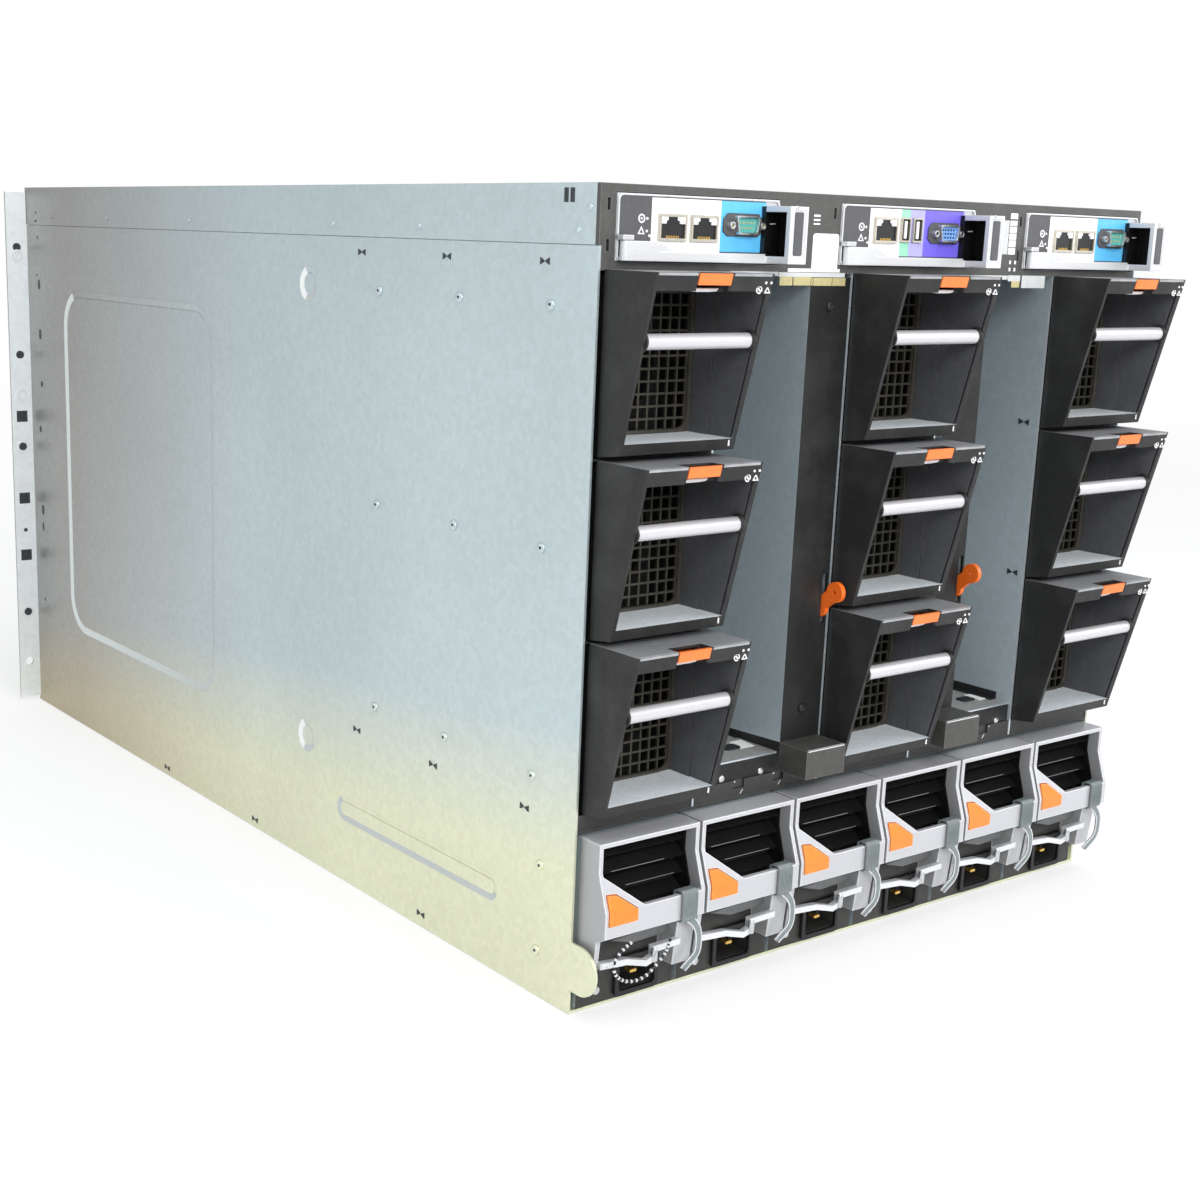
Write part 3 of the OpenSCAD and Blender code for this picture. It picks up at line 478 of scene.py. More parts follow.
def ribbon(path, t):
    """The outline of a strip of thickness t along a path of two-dimensional points."""
    path = [Vector(p) for p in path]
    left, back = [], []
    for i, p in enumerate(path):
        d = (path[min(i + 1, len(path) - 1)] - path[max(i - 1, 0)]).normalized()
        off = Vector((-d.y, d.x)) * t / 2
        left.append(tuple(p + off))
        back.append(tuple(p - off))
    return left + back[::-1]


def curve(points, steps=5):
    """A smooth path through points of any dimension."""
    pts = [Vector(p) for p in points]
    ext = [2 * pts[0] - pts[1]] + pts + [2 * pts[-1] - pts[-2]]
    path = []
    for i in range(1, len(ext) - 2):
        a, b, c, d = ext[i - 1:i + 3]
        for k in range(steps):
            t = k / steps
            path.append(0.5 * (2 * b + (c - a) * t + (2 * a - 5 * b + 4 * c - d) * t * t
                               + (3 * b - a - 3 * c + d) * t ** 3))
    return path + [pts[-1]]


RIVET = [(2.2, 0), (2.1, 0.5), (1.5, 0.95), (0.6, 1.15)]
SCREW = [(3.0, 0), (3.0, 0.8), (2.5, 1.7), (1.4, 2.1), (1.0, 1.5)]


def head(shape, centre, axis, sign=1, size=1.0, profile=RIVET):
    """A rivet or screw head that stands out along an axis."""
    shape.lathe(centre, axis, [(r * size, h * sign * size) for r, h in profile])


# ---- more finishes ------------------------------------------------------------------

LABEL_WHITE = material("label_white", (0.88, 0.88, 0.87), 0.0, 0.45, 0.02, 200, 0.05, 900)
LABEL_BLUE = material("label_blue", (0.11, 0.49, 0.84), 0.0, 0.42, 0.04, 200, 0.05, 900)
LABEL_VIOLET = material("label_violet", (0.17, 0.13, 0.74), 0.0, 0.42, 0.04, 200, 0.05, 900)
LABEL_MINT = material("label_mint", (0.30, 0.68, 0.48), 0.0, 0.42, 0.04, 200, 0.05, 900)
LABEL_LILAC = material("label_lilac", (0.42, 0.40, 0.72), 0.0, 0.42, 0.04, 200, 0.05, 900)
FACE_GREY = material("face_grey", (0.085, 0.085, 0.09), 0.1, 0.45, 0.06, 400, 0.1, 1300, round_edges=0.3)
SHIELD = material("port_shield", (0.62, 0.58, 0.50), 0.85, 0.3, 0.06, 500, 0.05, 900)
TEAL = material("connector_teal", (0.10, 0.42, 0.38), 0.0, 0.4, 0.06, 400, 0.05, 900)
VGA_BLUE = material("connector_blue", (0.20, 0.40, 0.85), 0.0, 0.4, 0.06, 400, 0.05, 900)
MARK_WHITE = material("mark_white", (0.75, 0.75, 0.75), 0.0, 0.5, 0.04, 400)
LABEL_GOLD = material("label_gold", (0.50, 0.44, 0.22), 0.1, 0.4, 0.08, 500, 0.05, 900)
STRAP_GREY = material("strap_grey", (0.19, 0.22, 0.22), 0.0, 0.35, 0.08, 400, 0.1, 700, coat=0.2)
CLEAR_GREY = material("clear_grey", (0.62, 0.64, 0.66), 0.0, 0.3, 0.06, 300, 0.1, 700, coat=0.3)
LOUVRE_BLACK = material("louvre_black", (0.005, 0.005, 0.005), 0.0, 0.7, 0.2, 300, spec=0.12)
FLAP_GREY = material("flap_grey", (0.15, 0.153, 0.155), 0.1, 0.4, 0.1, 400, 0.1, 900, round_edges=0.4)
STRIP_PALE = material("strip_pale", (0.55, 0.56, 0.56), 0.0, 0.45, 0.05, 300, 0.05, 900)
EDGE_GREY = material("worn_edge_and_highlight", (0.33, 0.335, 0.345), 0.0, 0.42, 0.18, 120, 0.2, 900)
BEAD_WHITE = material("bead_white", (0.58, 0.59, 0.60), 0.0, 0.35, 0.05, 300)

# ---- fans ----------------------------------------------------------------------------


def icon_ring(s, x, z, r, a, b, y, t, slash=False):
    """A ring mark, with a stroke across it if wanted."""
    s.ring(circle(x, z, r, 16), circle(x, z, r - t, 16), "y", y + a, y + b)
    if slash:
        d, w = r * 0.7, t * 0.5
        stroke = [(x - d - w, z - d + w), (x - d + w, z - d - w), (x + d + w, z + d - w), (x + d - w, z + d + w)]
        s.prism(stroke, "y", y + a, y + b)


def icon_triangle(s, x, z, r, a, b, y, t):
    """A triangular mark."""
    s.ring(circle(x, z, r, 3, math.pi / 2), circle(x, z, r - t, 3, math.pi / 2), "y", y + a, y + b)


def hood_front(drop):
    """How far a hood's front stands out at a height below its top."""
    return HOOD_OUT - (HOOD_OUT - HOOD_LOW_OUT) * drop / (HOOD_H - HOOD_LOW)


def fan_details(n):
    """The small parts of fan unit n."""
    new = partial(Shape, unit_origin("fan", n), 1, f"fan_{{}}_{n}", f"fan_{n}", "fan_black")
    # pale lip under the latch, at the mouth of its pocket: painted light on the dark plastic
    s = new()
    lip = ((-10.4, 7.7), (10.4, 7.7), (8.8, 9.3), (4, 9.6), (-4, 9.6), (-8.8, 9.3))
    s.prism([(x, HOOD_H - drop) for x, drop in lip], "y", 29.5, 30.3)
    s.done("scoop", LEDGE_PAINTED_LIGHT, 0.2)
    # ring and triangle marks with their lamps, at the -X end of the band
    s = new()
    y = hood_front(8.1)
    icon_ring(s, -30.8, HOOD_H - 8.1, 2.1, -0.1, 0.4, y, 0.65, True)
    icon_triangle(s, -36.6, HOOD_H - 8.6, 2.5, -0.2, 0.3, y, 1.2)
    for x in (-34.6, -38.3):
        s.lathe((x, hood_front(4.6) - 0.1, HOOD_H - 4.6), "y", [(0.75, 0), (0.7, 0.5), (0.3, 0.7)], 10)
    s.box((-35.2, -34.2), (hood_front(HOOD_H - 7.2) - 0.2, hood_front(HOOD_H - 7.2) + 0.3), (5.4, 8.6))
    s.done("marks", MARK_WHITE)
    # end collars of the grip bar
    s = new()
    for x, d in ((-37.3, 1), (37.3, -1)):
        s.lathe((x, BAR_Y, BAR_Z), "x", [(5.4, 0), (5.4, 1.2 * d), (4.5, 2.2 * d), (4.0, 2.3 * d)], 20)
    s.done("collars", HOOD_BLACK)
    # rolled rim of the guard
    s = new()
    rim = [Vector((u, -14.6, v)) for u, v in rounded((-34.6, 34.6), (10.6, 89.6), 8.0, 4)]
    s.tube(rim, 1.2, 6, closed=True)
    s.done("guard_rim", MESH_DARK)
    # pale edge along the top, on both sides of the latch: wear with a painted highlight where the edge catches the
    # light
    s = new()
    edge = [(HOOD_OUT + y, HOOD_H + z) for y, z in (
        (-2.0, -0.05), (-2.0, 0.1), (-0.3, 0.1), (0.05, -0.3), (-0.25, -1.5), (-0.9, -1.5))]
    s.prism(edge, "x", -HOOD_HALF + 1.5, -12.2)
    s.prism(edge, "x", 12.2, HOOD_HALF - 1.5)
    s.done("edge", EDGE_GREY)


for i in range(1, 10):
    fan_details(i)

# ---- power supplies -------------------------------------------------------------------


def psu_details(n):
    """The small parts of power supply n."""
    new = partial(Shape, unit_origin("psu", n), -1, f"psu_{{}}_{n}", f"psu_{n}", "handle_silver")
    m = new()
    for z in (60, 70.5, 80.5, 90.5):
        m.prism([(0.2, z + 4.5), (7.5, z - 0.4), (8.0, z + 0.5), (0.6, z + 5.6)], "x", 3, 67.6)
    m.prism([(0.2, 56), (13.5, 56), (13.5, 66), (8.0, 84), (8.0, 97.5), (0.2, 97.5)], "x", 67.4, 68.55)
    m.done("louvres", LOUVRE_BLACK)
    # pale lines along the front edges of two fins: painted highlights
    m = new()
    for z, a, b in ((80.8, 15, 53), (71.0, 26, 61)):
        m.prism([(7.4, z - 0.25), (8.1, z + 0.15), (7.9, z + 0.55), (7.2, z + 0.15)], "x", a, b)
    m.done("louvre_highlights", FLAP_GREY)
    # ribbed cord strap round the bar, with its tail
    m = new()
    loop = [(16.5, 60.5), (17.2, 65.2), (19.5, 66.4), (23.0, 66.2), (24.3, 64.4), (24.4, 57), (24.3, 50.4),
            (22.6, 49.0), (15, 49.0)]
    m.prism(ribbon(loop, 1.5), "x", 53.5, 64.5)
    rib = ribbon([(19.0, 67.1), (23.2, 66.9), (25.0, 64.6), (25.2, 57), (25.0, 50.6)], 0.5)
    for k in range(9):
        m.prism(rib, "x", 54.4 + 1.15 * k, 54.95 + 1.15 * k)
    m.done("strap", STRAP_GREY, 0.25)
    tail = [(62.5, 48.3), (66.6, 44.6), (69.3, 38.9), (70.6, 29.1), (69.0, 24.2), (65.7, 20.6), (62.9, 16.8)]
    outs = (20.5, 21.0, 21.5, 20.5, 19.8, 18.8, 17.5)
    mids = curve([(u, y, z) for (u, z), y in zip(tail, outs)], 4)
    m = new()
    band = []
    for i, p in enumerate(mids):
        t = (mids[min(i + 1, len(mids) - 1)] - mids[max(i - 1, 0)]).normalized()
        side = Vector((-t.z, 0, t.x)).normalized() * 2.0
        band.append((p + side, p - side))
    pts = [v for a, b in band for v in (a, b, a - Vector((0, 1.1, 0)), b - Vector((0, 1.1, 0)))]
    faces = [(0, 1, 3, 2), tuple(len(pts) - k for k in (4, 3, 1, 2))]
    for i in range(len(band) - 1):
        q = 4 * i
        faces += [(q, q + 1, q + 5, q + 4), (q + 2, q + 6, q + 7, q + 3),
                  (q, q + 4, q + 6, q + 2), (q + 1, q + 3, q + 7, q + 5)]
    m.solid(pts, faces)
    m.done("strap_tail", STRAP_GREY)
    m = new()
    for side in (0, 1):
        m.tube([pair[side] for pair in band], 0.42, 6)
    m.done("strap_edges", CLEAR_GREY)
    # bezel of the power inlet with its contact, screws, and the hinge of the clip
    m = new()
    outer, inner = rounded((26.6, 58.4), (2.6, 26.2), 3.0, 3), rounded((29.6, 55.4), (5.8, 23.0), 1.6, 3)
    m.ring(outer, inner, "y", 0, 2.4)
    m.done("inlet", SOCKET_BLACK, 0.3)
    m = new()
    m.prism(rounded((40.0, 45.0), (13.1, 14.9), 0.7, 2), "y", -6.0, -1.0)
    m.done("pins", GOLD, 0.2)
    m = new()
    head(m, (68.9, 0.2, 20.2), "y", 1, 0.95, SCREW)
    head(m, (13.8, 0.2, 9.9), "y", 1, 0.9, SCREW)
    m.done("screws", STEEL)
    m = new()
    m.lathe((40.6, 17.9, 27.0), "z", [(1.5, 0), (1.9, 0.6), (1.9, 7.6), (1.5, 8.2)], 10)
    m.done("clip_hinge", STEEL, 0.2)
    m = new()
    m.prism([(15.6, 41.5), (64.3, 45.0), (60.0, 40.4), (51.9, 37.4), (32.2, 36.9)], "y", 8.0, 9.4)
    m.done("flap", FLAP_GREY, 0.3)


def bead_loop():
    """The beaded tie that hangs from the first supply's clip."""
    new = partial(Shape, unit_origin("psu", 1), -1, "psu_tie_{}", "psu_1", "handle_silver")
    points = [(17.0, 45.6), (11.9, 42.9), (7.0, 38.2), (6.3, 31.8), (9.6, 27.2), (15.1, 24.0), (22.3, 22.8),
              (29.5, 24.1), (36.0, 28.5), (42.0, 33.5), (44.1, 37.3), (45.8, 41.6)]
    path = curve([(u, 24.5, z) for u, z in points], 6)
    s = new()
    s.tube(path, 0.75, 6)
    s.done("core", CASE_BLACK)
    s = new()
    for k in range(0, len(path) - 1, 3):
        c, t = path[k], (path[k + 1] - path[k]).normalized()
        q = t.to_track_quat("Z", "Y")
        pts, faces = [], []
        for j, (r, h) in enumerate(((0.5, -0.9), (1.0, -0.4), (1.0, 0.4), (0.5, 0.9))):
            for i in range(8):
                a = math.pi * i / 4
                pts.append(c + q @ Vector((r * math.cos(a), r * math.sin(a), h)))
        for j in range(3):
            faces += [(j * 8 + i, j * 8 + (i + 1) % 8, (j + 1) * 8 + (i + 1) % 8, (j + 1) * 8 + i) for i in range(8)]
        faces += [tuple(range(8)), tuple(range(31, 23, -1))]
        s.solid(pts, faces)
    s.done("beads", BEAD_WHITE)


for i in range(1, 7):
    psu_details(i)
bead_loop()

# ---- controllers ------------------------------------------------------------------------


def socket(name, body, at, u, z, kind):
    """A network or USB socket in a controller's face, from its limits."""
    new = partial(Shape, at, -1, name + "_{}", body, "controller_black")
    s = new()
    t = 1.4 if kind == "net" else 0.9  # the shield's thickness
    s.ring(rect(u, z), rect(u, z, t), "y", 0.2, 1.7)
    s.done("shield", SHIELD, 0.2)
    s = new()
    s.box((u[0] + t - 0.1, u[1] - t + 0.1), (0.25, 0.6), (z[0] + t - 0.1, z[1] - t + 0.1))
    s.done("mouth", SOCKET_BLACK)
    if kind == "net":
        mid, w = (u[0] + u[1]) / 2, (u[1] - u[0]) / 2 - t
        top = z[1] - t
        s = new()
        for a, b in ((mid - w, mid - 4.6), (mid + 4.6, mid + w)):
            s.box((a, b), (0.5, 1.5), (top - 3.4, top))
        for a, b in ((mid - 4.6, mid - 3.2), (mid + 3.2, mid + 4.6)):
            s.box((a, b), (0.5, 1.3), (top - 1.8, top))
        s.done("lamps", LABEL_WHITE, 0.15)
        s = new()
        for k in range(8):
            s.box((mid - 4.2 + 1.15 * k, mid - 3.7 + 1.15 * k), (0.5, 0.9), (z[0] + t, z[0] + t + 1.3))
        s.done("contacts", GOLD)
    else:
        s = new()
        s.box(((u[0] + u[1]) / 2 - 1.0, (u[0] + u[1]) / 2 + 1.0), (0.5, 1.4), (z[0] + 2, z[1] - 2))
        s.done("tongue", LABEL_WHITE, 0.15)


def d_outline(u, z, slope, r=1.6):
    """A D-shaped shell's outline, wider at its top."""
    pts = [(u[0], z[1]), (u[1], z[1]), (u[1] - slope, z[0]), (u[0] + slope, z[0])]
    out = []
    for i, p in enumerate(pts):
        a, b, c = Vector(pts[i - 1]), Vector(p), Vector(pts[(i + 1) % 4])
        d1, d2 = (a - b).normalized(), (c - b).normalized()
        for k in range(4):
            t = k / 3
            q1, q2 = b + d1 * r, b + d2 * r
            out.append(tuple((1 - t) ** 2 * q1 + 2 * t * (1 - t) * b + t * t * q2))
    return out


def d_connector(name, body, at, mid, mid_z, fill, rows):
    """A D-shell connector with its flange, jack screws and pin holes."""
    new = partial(Shape, at, -1, name + "_{}", body, "controller_black")
    s = new()
    w, e = 15.0, 12.9
    flange = ((-w, -3.2), (-w + 3, -5.6), (e - 2.5, -5.6), (e, -3.2),
              (e, 3.2), (e - 2.5, 6.2), (-w + 3, 6.2), (-w, 3.2))
    s.prism([(mid + u, mid_z + z) for u, z in flange], "y", 0.3, 1.0)
    s.done("flange", FACE_GREY, 0.25)
    s = new()
    s.ring(d_outline((mid - 8.6, mid + 8.6), (mid_z - 4.6, mid_z + 5.0), 1.6),
           d_outline((mid - 7.7, mid + 7.7), (mid_z - 3.7, mid_z + 4.1), 1.4), "y", 0.8, 4.6)
    jacks = (mid - 10.9, mid + 10.9)
    for u in jacks:
        s.ring(circle(u, mid_z, 2.1, 6), circle(u, mid_z, 1.2, 6), "y", 0.9, 4.2)
    s.done("shell", STEEL, 0.2)
    s = new()
    s.prism(d_outline((mid - 7.6, mid + 7.6), (mid_z - 3.6, mid_z + 4.0), 1.4), "y", 0.9, 2.6)
    s.done("insert", fill, 0.15)
    s = new()
    for j, (count, z) in enumerate(rows):
        for k in range(count):
            u = mid + (k - (count - 1) / 2) * 2.4
            s.lathe((u, 2.55, mid_z + z), "y", [(0.62, 0), (0.6, 0.35), (0.3, 0.4)], 8)
    for u in jacks:
        s.lathe((u, 0.9, mid_z), "y", [(1.2, 0), (1.2, 1.6)], 8)
    s.done("holes", LABEL_GOLD if fill is TEAL else CASE_BLACK)


def ctl_details(n, kvm):
    """The small parts of controller n and its lever; kvm is the one for keyboard and screen."""
    o, body = unit_origin("ctl", n), f"controller_{n}"
    new = partial(Shape, o, -1, f"ctl_{{}}_{n}", body, "controller_black")
    s = new()
    s.ring(rounded((0, 112), (0, 33), 3.0, 4), rounded((1.1, 110.9), (1.1, 32.0), 2.3, 4), "y", 0.3, 1.3)
    s.done("frame", EDGE_SILVER, 0.3)
    s = new()
    s.box((1.0, 101.5), (0.3, 0.5), (1.1, 32.1))
    s.done("face", FACE_GREY)
    if kvm:
        plates = [("white", LABEL_WHITE, 22.3, 48.0), ("mint", LABEL_MINT, 48.0, 55.5),
                  ("lilac", LABEL_LILAC, 55.5, 68.0), ("violet", LABEL_VIOLET, 68.0, 102.0)]
    else:
        plates = [("white", LABEL_WHITE, 22.3, 69.8), ("blue", LABEL_BLUE, 69.8, 102.0)]
    for colour, mat, a, b in plates:
        s = new()
        s.box((a, b), (0.5, 0.75), (4.6 if a < 30 else 5.6, 31.4))
        s.done(colour, mat, 0.1)
    at = o + Vector((0, 0.6, 0))
    if kvm:
        socket(f"ctl_net_{n}_1", body, at, (25.3, 44.6), (12.5, 26.7), "net")
        socket(f"ctl_usb_{n}_1", body, at, (47.3, 55.0), (13.4, 27.0), "usb")
        socket(f"ctl_usb_{n}_2", body, at, (57.4, 65.2), (13.4, 27.0), "usb")
        d_connector(f"ctl_video_{n}", body, at, 86.0, 18.7, VGA_BLUE, ((5, 2.2), (5, 0.1), (5, -2.0)))
    else:
        socket(f"ctl_net_{n}_1", body, at, (26.6, 45.5), (10.3, 23.7), "net")
        socket(f"ctl_net_{n}_2", body, at, (48.3, 67.1), (10.3, 23.7), "net")
        d_connector(f"ctl_serial_{n}", body, at, 86.0, 19.2, TEAL, ((5, 1.5), (4, -1.2)))
    s = new()
    icon_ring(s, 15.8, 21.0, 2.3, 0.5, 0.85, 0, 0.8)
    s.lathe((15.8, 0.5, 21.0), "y", [(0.7, 0), (0.6, 0.35)], 8)
    icon_triangle(s, 15.8, 14.6, 2.7, 0.5, 0.85, 0, 1.3)
    for u, z in ((19.6, 21.0), (19.6, 14.9), (21.4, 12.6)):
        s.lathe((u, 0.5, z), "y", [(0.8, 0), (0.7, 0.3), (0.3, 0.5)], 8)
    s.done("marks", MARK_WHITE)
    # rounded step of the lever, the dark mouth of its end block, painted highlights in its cup, its bare plate and stud
    new = partial(Shape, o, -1, f"ctl_{{}}_{n}", f"controller_lever_body_{n}", "handle_silver")
    s = new()
    slope = [(36.5 - 12.8 * t, 5.0 + 5.0 * (0.5 - 0.5 * math.cos(math.pi * t))) for t in (k / 8 for k in range(9))]
    s.prism([(36.5, 4.6), (23.7, 4.6)] + slope[::-1], "y", 0.95, 5.8)
    s.done("step", LEVER_SILVER)
    s = new()
    s.box((98.85, 99.0), (0.9, 3.9), (4.9, 29.5))
    s.done("mouth", SOCKET_BLACK)
    # painted highlights: a pale line across the cup and a glint on its closed end
    s = new()
    s.tube([(100.2, 6.0, 20.5), (104.2, 6.0, 20.7)], 0.35, 6)
    s.box((109.7, 110.3), (17.2, 18.9), (5.5, 25.5))
    s.done("glint", EDGE_SILVER)
    s = new()
    s.prism(rounded((102.6, 109.0), (4.6, 26.8), 0.8, 2), "y", 21.3, 21.75)
    s.done("plate", FACE_GREY, 0.15)
    s = new()
    s.lathe((103.4, 21.8, 28.9), "y", [(1.2, 0), (1.2, 0.4), (0.8, 0.6), (0.6, 0.3)], 12)
    s.done("stud", STEEL)


for i in (1, 2, 3):
    ctl_details(i, i == 2)

# ---- case -----------------------------------------------------------------------------


def bow_tie(shape, u, v, axis, at, sign=1):
    """A pair of pressed half-shears that point at each other, on a face across an axis."""
    for d in (-1, 1):
        half = ((d * 3.9, -1.9), (d * 3.9, 1.9), (d * 0.5, 0.35), (d * 0.5, -0.35))
        shape.prism([(u + a, v + b) for a, b in half], axis, at, at + 0.3 * sign)


def skirt(shape, outline, inner, x, sign):
    """The sloped wall of a pressed recess, between its outline and its floor's outline."""
    n, depth = len(outline), 0.7
    points = [(x - 0.02 * sign, y, z) for y, z in outline] + [(x - (depth - 0.02) * sign, y, z) for y, z in inner]
    points += [(x - (depth - 0.01) * sign, y, z) for y, z in outline]
    faces = []
    for i in range(n):
        j = (i + 1) % n
        faces += [(i, j, j + n, i + n), (i, i + 2 * n, j + 2 * n, j), (i + n, j + n, j + 2 * n, i + 2 * n)]
    shape.solid(points, faces)


# paler copies of the sheet for the walls of the pressed recesses that face the light: painted light; the second has
# painted shade towards the rear
PRESSED_LIT = material("pressed_wall", (0.80, 0.82, 0.81), 0.2, 0.4, 0.04, 500, 0.05, 700)
PRESSED_SOFT_PAINTED_LIGHT = material("pressed_bend_painted_light", (0.61, 0.65, 0.64), 0.3, 0.42, 0.04, 500, 0.05, 700,
                        shades=(((0, 1, 0), -0.28, -0.06, (0.82, 0.82, 0.82)),))
DARK_MARK = material("pressed_shadow", (0.035, 0.04, 0.045), 0.3, 0.5, 0.1, 500)
DIMPLE_Y = 93
rivets, ties = Shape(), Shape()
for sx in (1, -1):
    x = sx * SIDE_X
    for y, z in ((175.5, 379), (258, 379), (340, 379), (175.4, 252), (257.4, 252), (339, 252),
                 (176.5, 125.5), (252.7, 125.5), (337.5, 125.5), (347.7, 76.7), (346.4, 26.5)):
        head(rivets, (x, y, z), "x", sx, 1.45)
        ties.lathe((x, y + 0.9, z + 0.4), "x", [(1.0, 0), (0.95, sx * 1.5), (0.6, sx * 1.9)], 10)
    for y, z in ((-320, 417), (-213, 417), (-73, 417), (122, 417), (217, 417), (360.3, 416.9),
                 (369.2, 428.2), (-360.6, 16.3)):
        head(rivets, (x, y, z), "x", sx, 0.85)
    for y, z in ((155.8, 401), (245, 401), (334, 401), (156, 105.7), (242, 105.7), (332, 105.7),
                 (-120, 5.6), (21, 5.7), (232, 8)):
        bow_tie(ties, y, z, "x", x, sx)
    for y in (348.2, 353.2):
        ties.box(sorted((x, x + 0.25 * sx)), (y, y + 3.2), (430.5, 437.6))
    # dark marks left along the fold of the rack flange
    for y, z, w, h in ((-354.1, 420.1, 2.4, 2), (-354.9, 413.2, 3.2, 2.4), (-352.3, 400, 1.6, 3), (-355.6, 369.3, 2, 2),
                       (-351.5, 361.8, 4.5, 8), (-351.8, 321, 4.8, 8.5), (-351.5, 279.7, 4.8, 5),
                       (-357.2, 241.2, 4.5, 5.5), (-357, 172.1, 4.6, 8.5), (-357.2, 157.6, 3, 7), (-358.3, 93.6, 2, 3)):
        ties.prism(rounded((y - w / 2, y + w / 2), (z - h / 2, z + h / 2), w * 0.45, 3), "x", x, x + 0.15 * sx)
rivets.done("case_rivets", GALVANISED, slot="galvanised")
ties.done("case_lances", DARK_MARK, slot="galvanised")
s = Shape()
for sx in (1, -1):
    x = sx * SIDE_X
    skirt(s, rounded((-301, -37), (80, 360), 30, 8), rounded((-295.5, -42.5), (85.5, 354.5), 24.5, 8), x, sx)
    skirt(s, rounded((133, 309), (41, 57), 7.5, 6), rounded((136.6, 305.4), (44.6, 53.4), 3.9, 6), x, sx)
    for z in (86, 380):
        skirt(s, circle(DIMPLE_Y, z, 11, 32), circle(DIMPLE_Y, z, 6.5, 32), x, sx)
walls = s.done("case_pressed_walls", GALVANISED, slot="galvanised", smooth=20)
walls.data.materials.append(PRESSED_LIT)
walls.data.materials.append(PRESSED_SOFT_PAINTED_LIGHT)
# faces turned towards +Y or +Z take the paler copies, painted light; the dimples' rear-facing faces take the palest, a
# painted highlight
for poly in walls.data.polygons:
    if poly.normal.y > 0.04 or poly.normal.z > 0.05:
        dimple = abs(poly.center.y / MM - DIMPLE_Y) < 13
        poly.material_index = 1 if dimple and poly.normal.y > 0.05 else 2

# rack flanges: hole rims, caged nuts behind the square holes, dark discs in the round holes as painted shade, pressed
# dimples
flange_y = FRONT + 2
for sx in (1, -1):
    hole_x = sx * (SIDE_X + 9.05)
    s, nuts = Shape(), Shape()
    for z in (80.3, 224.8):
        s.ring(circle(hole_x, z, 5.2), circle(hole_x, z, 3.6), "y", flange_y - 0.1, flange_y + 0.4)
    for z in (269.0, 384.5):
        s.ring(circle(hole_x, z, 4.6, tall=5.2 / 4.6), circle(hole_x, z, 2.4, tall=2.8 / 2.4),
               "y", flange_y - 0.1, flange_y + 0.5)
    s.box((hole_x - 5.5, hole_x + 5.5), (flange_y - 0.1, flange_y + 0.35), (56.6, 60.6))
    s.box((hole_x - 5.5, hole_x + 5.5), (flange_y - 0.1, flange_y + 0.25), (187.5, 193.5))
    s.done("flange_rims_" + ("l" if sx > 0 else "r"), EDGE_SILVER, 0.15, slot="galvanised")
    for z in (130.7, 180.3, 250.6):
        cage = (hole_x - 4.7, hole_x + 4.7), (z - 4.7, z + 4.7)
        nuts.ring(rect(*cage), rect(*cage, 2.1), "y", FRONT + 0.3, flange_y - 0.4)
        nuts.lathe((hole_x, FRONT + 0.2, z), "y", [(3.9, 0), (3.9, 0.5)], 12)
    # dark discs behind the round holes: painted shade
    for z in (80.3, 224.8, 302.6, 391.5):
        nuts.lathe((hole_x, FRONT + 0.3, z), "y", [(3.3, 0), (3.3, 0.9)], 16)
    nuts.lathe((hole_x, flange_y - 0.1, 152.6), "y", [(1.7, 0), (1.7, 0.2)], 12)
    nuts.done("flange_nuts_" + ("l" if sx > 0 else "r"), DARK_MARK, slot="galvanised")

# cover: flat screws, and long pressed marks on top
s = Shape()
for x in (-200, -70, 70, 200):
    for y in (-360, -120, 125, 360):
        head(s, (x, y, TOP), "z", 1, 0.9, [(3.4, 0), (3.3, 0.35), (2.6, 0.6), (1.3, 0.6), (1.0, 0.3)])
s.done("cover_screws", STEEL, slot="galvanised")
s = Shape()
for x in (-150, 0, 150):
    for y in (-240, 0, 240):
        bow_tie(s, x, y, "z", TOP)
s.done("cover_lances", DARK_MARK, slot="galvanised")

# ---- module bays --------------------------------------------------------------------------

